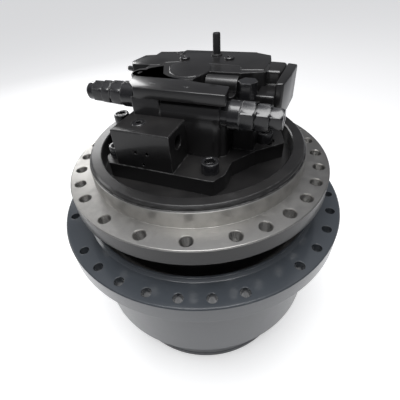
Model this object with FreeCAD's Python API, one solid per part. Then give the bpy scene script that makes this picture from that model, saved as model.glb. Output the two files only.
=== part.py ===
"""Travel final drive of a tracked excavator.

The drive stands on its end cover with the rotation axis along +Z.  The origin is
at the centre of the underside.  The frame side (motor casing, carrier of the second
stage, rear cover and valves) is fixed; the hub with the sprocket flange turns on it.
+X runs along the spool of the counterbalance valve and -Y points at the port block.
All sizes are in millimetres and all angles in degrees.
"""
import FreeCAD
import Part

import math
import os

V = FreeCAD.Vector
UP = V(0, 0, 1)
ALONG_X = V(1, 0, 0)
ALONG_Y = V(0, 1, 0)

# ---------------------------------------------------------------- hub and sprocket side
NOSE_R = 213.5                  # reduced lower drum of the hub
DRUM_R = 250.0                  # main drum of the hub
SPROCKET_R = 287.0              # sprocket flange
SPROCKET_T = 37.5
SPROCKET_HOLE_R = 8.75
SPROCKET_PCD_R = 268.5
SPROCKET_POSITIONS = 32         # pitch positions, every eighth of which is left out
SPROCKET_SKIP = 8
HUB_PHASE = -41.8               # rest angle of a left out position
COVER_T = 16.0
NOSE_TOP = 95.0                 # top of the reduced drum, start of the cone to the main drum
NOSE_CONE_H = 20.0
SPROCKET_UNDERSIDE = 305.0
COLLAR_R = 236.0                # lip that surrounds the floating seal
COLLAR_H = 5.0
COLLAR_MOUTH_R = 231.0
DRUM_BORE_R = 222.0             # bore for ring gear 2 and the main bearings
NOSE_BORE_R = 185.0             # bore for ring gear 1
WEB_BORE_R = 174.5              # web between the two stages
COVER_SCREW_SEAT = 9.0
COVER_PLUG_R = 13.0
COVER_PLUG_PCD_R = 130.0
RING_1_SEAT = 84.0
RING_2_SEAT = 112.0

# ---------------------------------------------------------------- frame side
FRAME_R = 250.0                 # frame flange
FRAME_T = 32.0
FRAME_GAP = 58.0                # from the sprocket flange to the frame flange
FRAME_PCD_R = 231.0
FRAME_HOLE_R = 11.0
FRAME_HOLE_STEP = 12.0
FRAME_WIDE_STEP = 18.0
SPIGOT_R = 205.5
SPIGOT_H = 31.5
RIM_R = 202.0
RIM_H = 8.5
RIM_BORE_R = 180.0
RECESS_DEPTH = 24.5             # from the spigot's top down to the recess floor
SKIRT_R = 218.0
SPINDLE_R = 172.0
MOTOR_BORE_R = 97.0

# ---------------------------------------------------------------- gears
PRESSURE_ANGLE = 25.0
BACKLASH = 0.25
MODULE_1 = 5.5
SUN_1_TEETH = 12
PLANET_1_TEETH = 24
PLANETS_1 = 3
MODULE_2 = 7.0
SUN_2_TEETH = 15
PLANET_2_TEETH = 21
PLANETS_2 = 4
DEDENDUM = 1.25                 # in modules
STAGE_1_Z = 32.0                # underside of the first stage's gears
STAGE_1_W = 42.0
STAGE_2_Z = 124.0               # underside of the second stage's gears
STAGE_2_W = 60.0
PIN_1_R = 20.0
PIN_2_R = 26.0
CARRIER_2_R = 160.0
CARRIER_2_T = 12.0
CARRIER_2_LOWER_T = 9.0
POST_R = 17.0
POST_PCD_R = 150.0
CARRIER_1_R = 128.0
CARRIER_1_T = 16.0
SUN_2_STEM_R = 40.0
PIN_1_HEAD = 6.0
PIN_2_ENTRY = 18.0
NEEDLE_T = 9.0                  # radial thickness of a needle cage

# ---------------------------------------------------------------- bearings and seal
BEARING_W = 38.0
BEARING_RING_T = 15.0
BEARING_LOWER_Z = 228.0
SEAL_INNER_R = 190.0
SEAL_RING_R = 206.0
SEAL_RING_T = 17.0

# ---------------------------------------------------------------- motor
SHAFT_R = 22.0
SUN_2_BORE_R = 27.0
PISTONS = 9
PISTON_R = 10.0
PISTON_PCD_R = 50.0
BLOCK_R = 70.0
SWASH_R = 84.0
SWASH_T = 26.0
SHOE_R = 14.0
SHOE_T = 7.0
SHAFT_BEARING_R = 48.0
SHAFT_BEARING_W = 24.0
BRAKE_DISCS = 4
BRAKE_DISC_T = 4.0
BRAKE_GAP = 0.2
BRAKE_INNER_R = 76.0
BRAKE_OUTER_R = 90.0
BRAKE_PISTON_T = 16.0
BRAKE_TRAVEL = 2.0
BLOCK_BASE = 298.0
BLOCK_H = 94.0
VALVE_PLATE_T = 8.0

# ---------------------------------------------------------------- rear cover and valves
COVER_FLANGE_T = 30.0
PORT_BLOCK_W = 107.0
PORT_BLOCK_LEFT = -99.0
PORT_BLOCK_FRONT = -121.0
PORT_BLOCK_H = 67.5
VALVE_FRONT = -60.0
VALVE_LEFT = -90.0
VALVE_RIGHT = 75.0
VALVE_DEPTH = 52.0
VALVE_H = 47.5
SPOOL_R = 11.0
SPOOL_LENGTH = 84.0
SPOOL_TRAVEL = 6.0
TOP_PLATE_T = 10.0
M16_HEAD_R = 12.0
M16_R = 8.0
M12_HEAD_R = 9.0
M12_R = 6.0
RELIEF_R = 18.0
RELIEF_THREAD_R = 13.0
RELIEF_ENTRY = 15.0             # length screwed into the valve body
COVER_FLANGE_R = 166.0
TOWER_BACK = 132.0
TROUGH_BACK = 40.0
TROUGH_DEPTH = 24.0
SHUTTLE_R = 15.0                # round boss that lies in the trough
SHUTTLE_LEFT = 20.0
SHUTTLE_Y = 24.0
PORT_R = 12.0
PORT_DEPTH = 30.0
DRAIN_PORT = (-154.0, -8.0)
DRAIN_PORT_R = 8.0
DRAIN_PORT_DEPTH = 20.0
DRAIN_BOSS_R = 12.0
PORT_PLUG = (-63.0, -88.0)
PORT_PLUG_R = 12.5
SPOOL_BARREL_R = 21.0
SPRING_T = 1.2
SPRING_DISCS = 8
LOBE = (-20.0, 12.0)
LOBE_R = 49.0
TOP_PLUGS = [(-51.0, 86.0), (38.0, 91.0)]
PLUG_R = 10.0
CAP = (15.0, 94.0)
CAP_R = 8.0
CAP_H = 38.0
HEX_PLUG = (94.0, 14.0)
HEX_PLUG_AF = 29.0
SERVO_LEFT = 116.0
SERVO_RIGHT = 157.0
SERVO_Y = 46.0
SERVO_R = 12.0

# ---------------------------------------------------------------- clearances
RUNNING = 0.05                  # radial gap of parts that turn in or on each other
SEATED = 0.02                   # radial gap of parts that are pressed or bolted together
LOOSE = 0.5                     # gap round a screw head or a guided ring

# ---------------------------------------------------------------- levels worked out from the sizes
DRUM_BASE = NOSE_TOP + NOSE_CONE_H
SPROCKET_TOP = SPROCKET_UNDERSIDE + SPROCKET_T
FRAME_BASE = SPROCKET_TOP + FRAME_GAP
FRAME_TOP = FRAME_BASE + FRAME_T
SPIGOT_TOP = FRAME_TOP + SPIGOT_H
RIM_TOP = SPIGOT_TOP + RIM_H
FLOOR = SPIGOT_TOP - RECESS_DEPTH
COVER_FLANGE_TOP = FLOOR + COVER_FLANGE_T
PORT_BLOCK_TOP = COVER_FLANGE_TOP + PORT_BLOCK_H
VALVE_TOP = PORT_BLOCK_TOP + VALVE_H
TOP_PLATE_TOP = VALVE_TOP + TOP_PLATE_T
SPOOL_Z = PORT_BLOCK_TOP + VALVE_H / 2 - 2
VALVE_BACK = VALVE_FRONT + VALVE_DEPTH
SHUTTLE_Z = VALVE_TOP - SHUTTLE_R
PORT_Z = PORT_BLOCK_TOP - 24.0
COVER_SCREW_TOP = COVER_FLANGE_TOP - 4.0
DRAIN_BOSS_TOP = COVER_FLANGE_TOP + 40.5
SHELF_TOP = VALVE_TOP - 34.0
SERVO_BASE = COVER_FLANGE_TOP + 30.0
SERVO_Z = VALVE_TOP - 12.0
SPOOL_Y = VALVE_FRONT + 22.0
BEARING_UPPER_Z = BEARING_LOWER_Z + BEARING_W
BEARING_TOP = BEARING_UPPER_Z + BEARING_W
CASING_BASE = STAGE_2_Z + STAGE_2_W + 20.0
PLANET_1_PCD_R = MODULE_1 * (SUN_1_TEETH + PLANET_1_TEETH) / 2
PLANET_2_PCD_R = MODULE_2 * (SUN_2_TEETH + PLANET_2_TEETH) / 2
RING_1_TEETH = SUN_1_TEETH + 2 * PLANET_1_TEETH
RING_2_TEETH = SUN_2_TEETH + 2 * PLANET_2_TEETH
SEAL_FACE_Z = BEARING_TOP + 24.0
SKIRT_BORE_R = SKIRT_R - 6.0
MOTOR_FLOOR = CASING_BASE + 36.0
SUN_2_TIP_R = MODULE_2 * (SUN_2_TEETH / 2 + 1)
CARRIER_1_UPPER = STAGE_1_Z + STAGE_1_W + 2.0
SHAFT_JOINT_Z = CASING_BASE + 2.0
SWASH_BASE = MOTOR_FLOOR
SHOE_BASE = SWASH_BASE + SWASH_T
COVER_SPIGOT_BASE = BLOCK_BASE + BLOCK_H + VALVE_PLATE_T
BRAKE_BASE = BLOCK_BASE + 26.0
BRAKE_TOP = BRAKE_BASE + 2 * BRAKE_DISCS * (BRAKE_DISC_T + BRAKE_GAP)


# ================================================================ shape helpers
def ring(outer, inner, z0, z1):
    """A plain ring, or a disc when inner is 0."""
    body = Part.makeCylinder(outer, z1 - z0, V(0, 0, z0), UP)
    if inner > 0:
        body = body.cut(Part.makeCylinder(inner, z1 - z0 + 2, V(0, 0, z0 - 1), UP))
    return body


def turned(profile):
    """Solid of revolution about Z from (radius, height) points."""
    points = [V(r, 0, z) for r, z in profile]
    face = Part.Face(Part.makePolygon(points + points[:1]))
    return face.revolve(V(0, 0, 0), UP, 360)


def slab(points, z0, z1):
    """Prism with a flat polygon outline."""
    wire = Part.makePolygon([V(x, y, z0) for x, y in points + points[:1]])
    return Part.Face(wire).extrude(V(0, 0, z1 - z0))


def block(x0, x1, y0, y1, z0, z1):
    return Part.makeBox(x1 - x0, y1 - y0, z1 - z0, V(x0, y0, z0))


def rod(radius, start, end):
    """Cylinder between two points."""
    axis = end - start
    return Part.makeCylinder(radius, axis.Length, start, axis)


def hexagon(across_flats, length, start, axis):
    """Hexagon bar with its corners rounded off by a cylinder."""
    corner = across_flats / math.sqrt(3)
    points = [V(corner * math.cos(math.radians(60 * i)), corner * math.sin(math.radians(60 * i)), 0)
              for i in range(7)]
    bar = Part.Face(Part.makePolygon(points)).extrude(V(0, 0, length))
    bar.Placement = FreeCAD.Placement(start, FreeCAD.Rotation(UP, axis))
    return bar.common(rod(corner * 0.97, start, start + axis * length))


def chamfer_rounds(shape, size, pick):
    """Chamfer the circular edges that pick accepts."""
    edges = [e for e in shape.Edges if isinstance(e.Curve, Part.Circle) and pick(e)]
    return shape.makeChamfer(size, edges)


def polar(radius, angle, z=0.0):
    return V(radius * math.cos(math.radians(angle)), radius * math.sin(math.radians(angle)), z)


def round_pattern(shape, count, phase=0.0):
    """Copies of a shape turned evenly about Z."""
    copies = []
    for i in range(count):
        copy = shape.copy()
        copy.rotate(V(0, 0, 0), UP, phase + 360.0 * i / count)
        copies.append(copy)
    return copies


def joined(first, *others):
    return first.multiFuse(list(others)).removeSplitter()


def cap_screw(head_r, shank_r, head_h, shank_l, seat, down=V(0, 0, -1)):
    """Socket head cap screw whose head sits on the point seat."""
    head = rod(head_r, seat, seat - down * head_h)
    shank = rod(shank_r, seat, seat + down * shank_l)
    socket = hexagon(head_r * 1.1, head_h * 0.55, seat - down * head_h, down)
    return head.fuse(shank).removeSplitter().cut(socket)


def save(name, shape):
    shape = shape if isinstance(shape, Part.Shape) else Part.makeCompound(shape)
    shape.exportStep("parts/%s.step" % name)


# ================================================================ gears
def involute_half_angle(module, teeth, radius, thin):
    """Half of the tooth's angular thickness at a radius, in radians."""
    pitch = module * teeth / 2
    base = pitch * math.cos(math.radians(PRESSURE_ANGLE))

    def inv(r):
        a = math.acos(min(1.0, base / r))
        return math.tan(a) - a
    return math.pi / (2 * teeth) - thin / (2 * pitch) + inv(pitch) - inv(max(radius, base))


def tooth_outline(module, teeth, root, tip, steps, thin):
    """Closed outline of a gear with involute flanks and radial flanks below the base circle."""
    radii = [root + (tip - root) * i / steps for i in range(steps + 1)]
    half = [(r, involute_half_angle(module, teeth, r, thin)) for r in radii]
    points = []
    for tooth in range(teeth):
        centre = 2 * math.pi * tooth / teeth
        flank_in = [(r, centre - a) for r, a in half]
        flank_out = [(r, centre + a) for r, a in reversed(half)]
        points += [V(r * math.cos(t), r * math.sin(t), 0) for r, t in flank_in + flank_out]
    return points + points[:1]


def spur_gear(module, teeth, width, steps):
    """External gear at the origin with a tooth on +X."""
    pitch = module * teeth / 2
    outline = tooth_outline(module, teeth, pitch - DEDENDUM * module, pitch + module, steps, BACKLASH / 2)
    return Part.Face(Part.makePolygon(outline)).extrude(V(0, 0, width))


def ring_space(module, teeth, width, steps):
    """The space inside a ring gear's teeth, with a tooth gap on +X."""
    pitch = module * teeth / 2
    outline = tooth_outline(module, teeth, pitch - module, pitch + DEDENDUM * module, steps, -BACKLASH / 2)
    return Part.Face(Part.makePolygon(outline)).extrude(V(0, 0, width))


def planet_phase(angle, sun_teeth, planet_teeth):
    """Turn that puts a planet's tooth gap on the sun's tooth when the sun has a tooth on +X."""
    pitch_angle = 360.0 / sun_teeth
    offset = -(angle % pitch_angle)
    gap = angle + 180 - offset * sun_teeth / planet_teeth
    return gap - 180.0 / planet_teeth


def ring_phase(angle, phase, planet_teeth, ring_teeth):
    """Turn that puts a ring's tooth gap on the tooth of a planet at angle."""
    pitch_angle = 360.0 / planet_teeth
    offset = (phase - angle) % pitch_angle
    return angle + offset * planet_teeth / ring_teeth


def planets(module, teeth, sun_teeth, count, pcd_r, bore_r, z, width):
    """The planets of one stage, each in mesh with the sun."""
    blank = spur_gear(module, teeth, width, 2).cut(ring(bore_r, 0, -1, width + 1))
    made = []
    for i in range(count):
        angle = 360.0 * i / count
        planet = blank.copy()
        planet.rotate(V(0, 0, 0), UP, planet_phase(angle, sun_teeth, teeth))
        planet.translate(polar(pcd_r, angle, z))
        made.append(planet)
    return made


def ring_gear(module, ring_teeth, sun_teeth, planet_teeth, outer, z0, z1):
    space = ring_space(module, ring_teeth, z1 - z0 + 2, 2)
    phase = ring_phase(0, planet_phase(0, sun_teeth, planet_teeth), planet_teeth, ring_teeth)
    space.rotate(V(0, 0, 0), UP, phase)
    space.translate(V(0, 0, z0 - 1))
    return ring(outer, 0, z0, z1).cut(space)


# ================================================================ hub
def sprocket_angles():
    step = 360.0 / SPROCKET_POSITIONS
    return [HUB_PHASE + i * step for i in range(SPROCKET_POSITIONS) if i % SPROCKET_SKIP]


def end_cover_screw_places():
    return [polar((NOSE_BORE_R + NOSE_R) / 2, HUB_PHASE + 22.5 * i, 0) for i in range(16)]


def hub_housing():
    body = turned([
        (NOSE_BORE_R, COVER_T), (NOSE_R - 2, COVER_T), (NOSE_R, COVER_T + 2), (NOSE_R, NOSE_TOP),
        (DRUM_R - 6, DRUM_BASE - 3), (DRUM_R, DRUM_BASE + 5), (DRUM_R, SPROCKET_UNDERSIDE - 6),
        (DRUM_R + 4, SPROCKET_UNDERSIDE), (SPROCKET_R - 2, SPROCKET_UNDERSIDE),
        (SPROCKET_R, SPROCKET_UNDERSIDE + 2), (SPROCKET_R, SPROCKET_TOP - 2),
        (SPROCKET_R - 2, SPROCKET_TOP), (COLLAR_R + 4, SPROCKET_TOP), (COLLAR_R, SPROCKET_TOP + 3),
        (COLLAR_R - 1, SPROCKET_TOP + COLLAR_H), (COLLAR_MOUTH_R, SPROCKET_TOP + COLLAR_H),
        (COLLAR_MOUTH_R, SPROCKET_UNDERSIDE + 6), (DRUM_BORE_R, SPROCKET_UNDERSIDE + 6),
        (DRUM_BORE_R, RING_2_SEAT), (WEB_BORE_R, RING_2_SEAT), (WEB_BORE_R, RING_1_SEAT),
        (NOSE_BORE_R, RING_1_SEAT)])
    drill = Part.makeCylinder(SPROCKET_HOLE_R, SPROCKET_T + 2, V(0, 0, 0), UP)
    holes = []
    for angle in sprocket_angles():
        hole = drill.copy()
        hole.translate(polar(SPROCKET_PCD_R, angle, SPROCKET_UNDERSIDE - 1))
        holes.append(hole)
    for place in end_cover_screw_places():
        holes.append(rod(M12_R, place + V(0, 0, COVER_T - 1), place + V(0, 0, COVER_T + 24)))
    return body.cut(holes)


def end_cover():
    body = turned([
        (0, 0), (NOSE_R - 3, 0), (NOSE_R, 3), (NOSE_R, COVER_T - 1), (NOSE_R - 1, COVER_T),
        (NOSE_BORE_R - SEATED, COVER_T), (NOSE_BORE_R - SEATED, COVER_T + 6),
        (NOSE_BORE_R - 8, COVER_T + 6), (NOSE_BORE_R - 8, COVER_T), (24, COVER_T), (24, COVER_T + 5), (0, COVER_T + 5)])
    cuts = []
    for place in end_cover_screw_places():
        cuts.append(rod(M12_HEAD_R + LOOSE, place - V(0, 0, 1), place + V(0, 0, COVER_SCREW_SEAT)))
        cuts.append(rod(M12_R + LOOSE, place, place + V(0, 0, COVER_T + 1)))
    for place in cover_plug_places():
        cuts.append(rod(COVER_PLUG_R, place - V(0, 0, 1), place + V(0, 0, COVER_T + 1)))
    return body.cut(cuts)


def cover_plug_places():
    return [polar(COVER_PLUG_PCD_R, HUB_PHASE + 90 * i, 0) for i in range(3)]


def end_cover_screws():
    return [cap_screw(M12_HEAD_R, M12_R, COVER_SCREW_SEAT - 1, 26, place + V(0, 0, COVER_SCREW_SEAT), UP)
            for place in end_cover_screw_places()]


def end_cover_plugs():
    plugs = []
    for place in cover_plug_places():
        plug = rod(COVER_PLUG_R, place + V(0, 0, 1), place + V(0, 0, COVER_T - 1))
        plugs.append(plug.cut(hexagon(12, 8, place + V(0, 0, 1), UP)))
    return plugs


def ring_gear_1():
    return ring_gear(MODULE_1, RING_1_TEETH, SUN_1_TEETH, PLANET_1_TEETH,
                     NOSE_BORE_R - SEATED, COVER_T + 6, RING_1_SEAT)


def ring_gear_2():
    """Second ring gear; its plain skirt carries the outer rings of the main bearings."""
    teeth_top = STAGE_2_Z + STAGE_2_W + 6
    gear = ring_gear(MODULE_2, RING_2_TEETH, SUN_2_TEETH, PLANET_2_TEETH,
                     DRUM_BORE_R - SEATED, RING_2_SEAT, teeth_top)
    skirt = ring(DRUM_BORE_R - SEATED, DRUM_BORE_R - BEARING_RING_T + 3, teeth_top, BEARING_LOWER_Z)
    return joined(gear, skirt)


def main_bearing_outer_rings():
    """Outer rings of both main bearings and the retaining ring above them."""
    outer = DRUM_BORE_R - SEATED
    rings = [ring(outer, DRUM_BORE_R - BEARING_RING_T, z, z + BEARING_W) for z in (BEARING_LOWER_Z, BEARING_UPPER_Z)]
    return rings + [ring(outer, DRUM_BORE_R - BEARING_RING_T + 5, BEARING_TOP, SPROCKET_UNDERSIDE + 6)]


def floating_seal_lower():
    return ring(SEAL_RING_R, SEAL_INNER_R, SEAL_FACE_Z - SEAL_RING_T, SEAL_FACE_Z - RUNNING / 2)


def load_ring_lower():
    return ring(COLLAR_MOUTH_R - SEATED, SEAL_RING_R + SEATED, SEAL_FACE_Z - SEAL_RING_T, SEAL_FACE_Z - 3)


def floating_seal_upper():
    return ring(SEAL_RING_R, SEAL_INNER_R, SEAL_FACE_Z + RUNNING / 2, SEAL_FACE_Z + SEAL_RING_T)


def load_ring_upper():
    return ring(SKIRT_BORE_R - SEATED, SEAL_RING_R + SEATED, SEAL_FACE_Z + 3, SEAL_FACE_Z + SEAL_RING_T)


# ================================================================ motor casing
def frame_angles():
    """The frame holes: 12 degree steps with two wider 18 degree steps at the front and at the back."""
    steps = [FRAME_WIDE_STEP] * 2 + [FRAME_HOLE_STEP] * 9 + [FRAME_WIDE_STEP] * 2
    angles = [-90.0]
    for sign in (1, -1):
        angle = -90.0
        for step in steps[:-1]:
            angle += sign * step
            angles.append(angle)
    return angles + [90.0]


def cover_screw_places():
    """Screws of the rear cover, on the lobes of its flange."""
    return [V(64, -93, 0), V(133, 26, 0), V(-131, -86, 0), V(-140, 40, 0), V(-95, 118, 0), V(0, 148, 0), V(102, 105, 0)]


def main_casing():
    body = turned([
        (SHAFT_BEARING_R, CASING_BASE), (SPINDLE_R - 12, CASING_BASE), (SPINDLE_R, CASING_BASE + 12),
        (SPINDLE_R, BEARING_TOP), (SEAL_INNER_R - 4, BEARING_TOP), (SEAL_INNER_R - 4, SEAL_FACE_Z + SEAL_RING_T),
        (SKIRT_BORE_R, SEAL_FACE_Z + SEAL_RING_T), (SKIRT_BORE_R, SEAL_FACE_Z + 4),
        (SKIRT_R, SEAL_FACE_Z + 4), (SKIRT_R, FRAME_BASE - 4), (SKIRT_R + 4, FRAME_BASE),
        (FRAME_R - 1.5, FRAME_BASE), (FRAME_R, FRAME_BASE + 1.5), (FRAME_R, FRAME_TOP - 1.5),
        (FRAME_R - 1.5, FRAME_TOP), (SPIGOT_R, FRAME_TOP), (SPIGOT_R, SPIGOT_TOP - 2),
        (SPIGOT_R - 2, SPIGOT_TOP), (RIM_R, SPIGOT_TOP), (RIM_R, RIM_TOP - 3), (RIM_R - 3, RIM_TOP),
        (RIM_BORE_R + 2, RIM_TOP), (RIM_BORE_R, RIM_TOP - 2), (RIM_BORE_R, FLOOR),
        (MOTOR_BORE_R, FLOOR), (MOTOR_BORE_R, MOTOR_FLOOR), (SHAFT_BEARING_R, MOTOR_FLOOR)])
    cuts = []
    drill = Part.makeCylinder(FRAME_HOLE_R, FRAME_T + 2, V(0, 0, FRAME_BASE - 1), UP)
    for angle in frame_angles():
        hole = drill.copy()
        hole.translate(polar(FRAME_PCD_R, angle))
        cuts.append(hole)
    for place in cover_screw_places():
        cuts.append(rod(M16_R, place + V(0, 0, FLOOR - 34), place + V(0, 0, FLOOR + 1)))
    for pin in round_pattern(rod(PIN_2_R, polar(PLANET_2_PCD_R, 0, CASING_BASE - 1),
                                 polar(PLANET_2_PCD_R, 0, CASING_BASE + PIN_2_ENTRY)), PLANETS_2):
        cuts.append(pin)
    return body.cut(cuts)


def bearing_nut():
    """Ring nut that clamps the inner rings on the spindle."""
    nut = ring(SPINDLE_R + 12, SPINDLE_R + SEATED, BEARING_LOWER_Z - 10, BEARING_LOWER_Z)
    slots = round_pattern(block(SPINDLE_R + 8, SPINDLE_R + 14, -5, 5, BEARING_LOWER_Z - 11, BEARING_LOWER_Z + 1), 6)
    return nut.cut(slots)


def main_bearing_inner_rings():
    return [ring(SPINDLE_R + BEARING_RING_T, SPINDLE_R + SEATED, z, z + BEARING_W)
            for z in (BEARING_LOWER_Z, BEARING_UPPER_Z)]


def main_bearing_rollers():
    """Roller and cage sets between the inner and outer rings."""
    return [ring(DRUM_BORE_R - BEARING_RING_T - RUNNING, SPINDLE_R + BEARING_RING_T + RUNNING, z + 4, z + BEARING_W - 4)
            for z in (BEARING_LOWER_Z, BEARING_UPPER_Z)]


# ================================================================ second stage


def carrier_2():
    """Planet carrier of the second stage: two plates joined by four posts between the planets."""
    upper_z = CASING_BASE - CARRIER_2_T
    lower_z = STAGE_2_Z - 2 - CARRIER_2_LOWER_T
    upper = ring(CARRIER_2_R + 14, SUN_2_TIP_R + 4, upper_z, CASING_BASE)
    lower = ring(CARRIER_2_R + 9, SUN_2_TIP_R + 4, lower_z, lower_z + CARRIER_2_LOWER_T)
    posts = round_pattern(rod(POST_R, polar(POST_PCD_R, 0, lower_z), polar(POST_PCD_R, 0, CASING_BASE)),
                          PLANETS_2, 180.0 / PLANETS_2)
    frame = joined(upper, lower, *posts)
    bores = round_pattern(rod(PIN_2_R, polar(PLANET_2_PCD_R, 0, lower_z - 1), polar(PLANET_2_PCD_R, 0, CASING_BASE + 1)),
                          PLANETS_2)
    return frame.cut(bores)


def planet_pins_2():
    pin = rod(PIN_2_R - SEATED, polar(PLANET_2_PCD_R, 0, STAGE_2_Z - 2 - CARRIER_2_LOWER_T),
              polar(PLANET_2_PCD_R, 0, CASING_BASE + PIN_2_ENTRY))
    return round_pattern(pin, PLANETS_2)


def planet_bearings_2():
    low, high = STAGE_2_Z + 1, STAGE_2_Z + STAGE_2_W - 1
    cage = rod(PIN_2_R + NEEDLE_T, polar(PLANET_2_PCD_R, 0, low), polar(PLANET_2_PCD_R, 0, high))
    cage = cage.cut(rod(PIN_2_R + SEATED, polar(PLANET_2_PCD_R, 0, low - 1), polar(PLANET_2_PCD_R, 0, high + 1)))
    return round_pattern(cage, PLANETS_2)


def sun_gear_2():
    """Sun of the second stage with the splined stem that sits in the first carrier."""
    gear = spur_gear(MODULE_2, SUN_2_TEETH, STAGE_2_W, 3)
    gear.translate(V(0, 0, STAGE_2_Z))
    stem = ring(SUN_2_STEM_R, 0, CARRIER_1_UPPER, STAGE_2_Z)
    bore = ring(SUN_2_BORE_R, 0, CARRIER_1_UPPER - 1, STAGE_2_Z + STAGE_2_W + 1)
    return joined(gear, stem).cut(bore)


# ================================================================ first stage


def carrier_1():
    """Planet carrier of the first stage, with a hub that drives the second sun."""
    plate = ring(CARRIER_1_R, 0, CARRIER_1_UPPER, CARRIER_1_UPPER + CARRIER_1_T)
    boss = ring(SUN_2_STEM_R + 14, 0, CARRIER_1_UPPER, CARRIER_1_UPPER + CARRIER_1_T + 14)
    bore = ring(SUN_2_STEM_R + SEATED, 0, CARRIER_1_UPPER - 1, CARRIER_1_UPPER + CARRIER_1_T + 16)
    pins = round_pattern(rod(PIN_1_R, polar(PLANET_1_PCD_R, 0, CARRIER_1_UPPER - 1),
                             polar(PLANET_1_PCD_R, 0, CARRIER_1_UPPER + CARRIER_1_T + 1)), PLANETS_1)
    scallops = round_pattern(rod(34, polar(CARRIER_1_R + 12, 60, CARRIER_1_UPPER - 1),
                                 polar(CARRIER_1_R + 12, 60, CARRIER_1_UPPER + CARRIER_1_T + 1)), PLANETS_1)
    return joined(plate, boss).cut([bore] + pins + scallops)


def planet_pins_1():
    """Cantilever pins with a head that keeps each planet on."""
    pin = rod(PIN_1_R - SEATED, polar(PLANET_1_PCD_R, 0, STAGE_1_Z - 1),
              polar(PLANET_1_PCD_R, 0, CARRIER_1_UPPER + CARRIER_1_T))
    head = rod(PIN_1_R + PIN_1_HEAD, polar(PLANET_1_PCD_R, 0, STAGE_1_Z - 6), polar(PLANET_1_PCD_R, 0, STAGE_1_Z - 1))
    return round_pattern(joined(pin, head), PLANETS_1)


def planet_bearings_1():
    low, high = STAGE_1_Z + 1, STAGE_1_Z + STAGE_1_W - 1
    cage = rod(PIN_1_R + NEEDLE_T, polar(PLANET_1_PCD_R, 0, low), polar(PLANET_1_PCD_R, 0, high))
    cage = cage.cut(rod(PIN_1_R + SEATED, polar(PLANET_1_PCD_R, 0, low - 1), polar(PLANET_1_PCD_R, 0, high + 1)))
    return round_pattern(cage, PLANETS_1)


def sun_gear_1():
    """Input pinion on its long stem, which ends in the motor shaft's coupling."""
    gear = spur_gear(MODULE_1, SUN_1_TEETH, STAGE_1_W, 3)
    gear.translate(V(0, 0, STAGE_1_Z))
    stem = ring(SHAFT_R, 0, STAGE_1_Z - 8, SHAFT_JOINT_Z)
    return joined(gear, stem)


# ================================================================ motor


def motor_shaft():
    """Motor shaft: bearing journals, splined length under the block and an end journal."""
    return turned([(0, SHAFT_JOINT_Z), (SHAFT_R + 6, SHAFT_JOINT_Z), (SHAFT_R + 6, MOTOR_FLOOR),
                   (SHAFT_R + 2, MOTOR_FLOOR), (SHAFT_R + 2, COVER_SPIGOT_BASE), (SHAFT_R, COVER_SPIGOT_BASE),
                   (SHAFT_R, COVER_SPIGOT_BASE + SHAFT_BEARING_W + 4), (0, COVER_SPIGOT_BASE + SHAFT_BEARING_W + 4)])


def shaft_bearings():
    front = ring(SHAFT_BEARING_R - SEATED, SHAFT_R + 6 + RUNNING, MOTOR_FLOOR - SHAFT_BEARING_W, MOTOR_FLOOR)
    rear = ring(SHAFT_BEARING_R - 6 - SEATED, SHAFT_R + RUNNING, COVER_SPIGOT_BASE + 2, COVER_SPIGOT_BASE + 2 + SHAFT_BEARING_W)
    return [front, rear]


def swash_plate():
    """Swash plate at its neutral angle, with the flats that its cradle grips."""
    disc = ring(SWASH_R, SHAFT_R + 14, SWASH_BASE, SHOE_BASE)
    flats = [block(SWASH_R - 14, SWASH_R + 2, -SWASH_R, SWASH_R, SWASH_BASE - 1, SHOE_BASE - 12)]
    flats.append(block(-SWASH_R - 2, 14 - SWASH_R, -SWASH_R, SWASH_R, SWASH_BASE - 1, SHOE_BASE - 12))
    return disc.cut(flats)


def pistons():
    top = BLOCK_BASE + BLOCK_H - 34
    ball_neck = rod(PISTON_R - 5, polar(PISTON_PCD_R, 0, SHOE_BASE + SHOE_T), polar(PISTON_PCD_R, 0, SHOE_BASE + SHOE_T + 8))
    barrel = rod(PISTON_R - RUNNING, polar(PISTON_PCD_R, 0, SHOE_BASE + SHOE_T + 8), polar(PISTON_PCD_R, 0, top))
    return round_pattern(joined(ball_neck, barrel), PISTONS)


def slipper_shoes():
    shoe = rod(SHOE_R, polar(PISTON_PCD_R, 0, SHOE_BASE), polar(PISTON_PCD_R, 0, SHOE_BASE + 3))
    neck = rod(SHOE_R - 4, polar(PISTON_PCD_R, 0, SHOE_BASE + 3), polar(PISTON_PCD_R, 0, SHOE_BASE + SHOE_T))
    return round_pattern(joined(shoe, neck), PISTONS)


def retainer_plate():
    """Plate that holds the shoes against the swash plate."""
    plate = ring(BLOCK_R - 4, SHAFT_R + 8, SHOE_BASE + 3, SHOE_BASE + SHOE_T)
    windows = round_pattern(rod(SHOE_R - 4 + SEATED, polar(PISTON_PCD_R, 0, SHOE_BASE), polar(PISTON_PCD_R, 0, SHOE_BASE + 9)), PISTONS)
    return plate.cut(windows)


def cylinder_block():
    block_top = BLOCK_BASE + BLOCK_H
    body = ring(BLOCK_R, SHAFT_R + 2 + SEATED, BLOCK_BASE, block_top)
    bores = round_pattern(rod(PISTON_R, polar(PISTON_PCD_R, 0, BLOCK_BASE - 1), polar(PISTON_PCD_R, 0, block_top - 14)), PISTONS)
    ports = round_pattern(rod(PISTON_R - 5, polar(PISTON_PCD_R, 0, block_top - 15), polar(PISTON_PCD_R, 0, block_top + 1)), PISTONS)
    teeth = round_pattern(block(BLOCK_R - 1, BLOCK_R + 5, -4, 4, BRAKE_BASE, BRAKE_TOP), 12)
    return joined(body, *teeth).cut(bores + ports)


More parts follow.
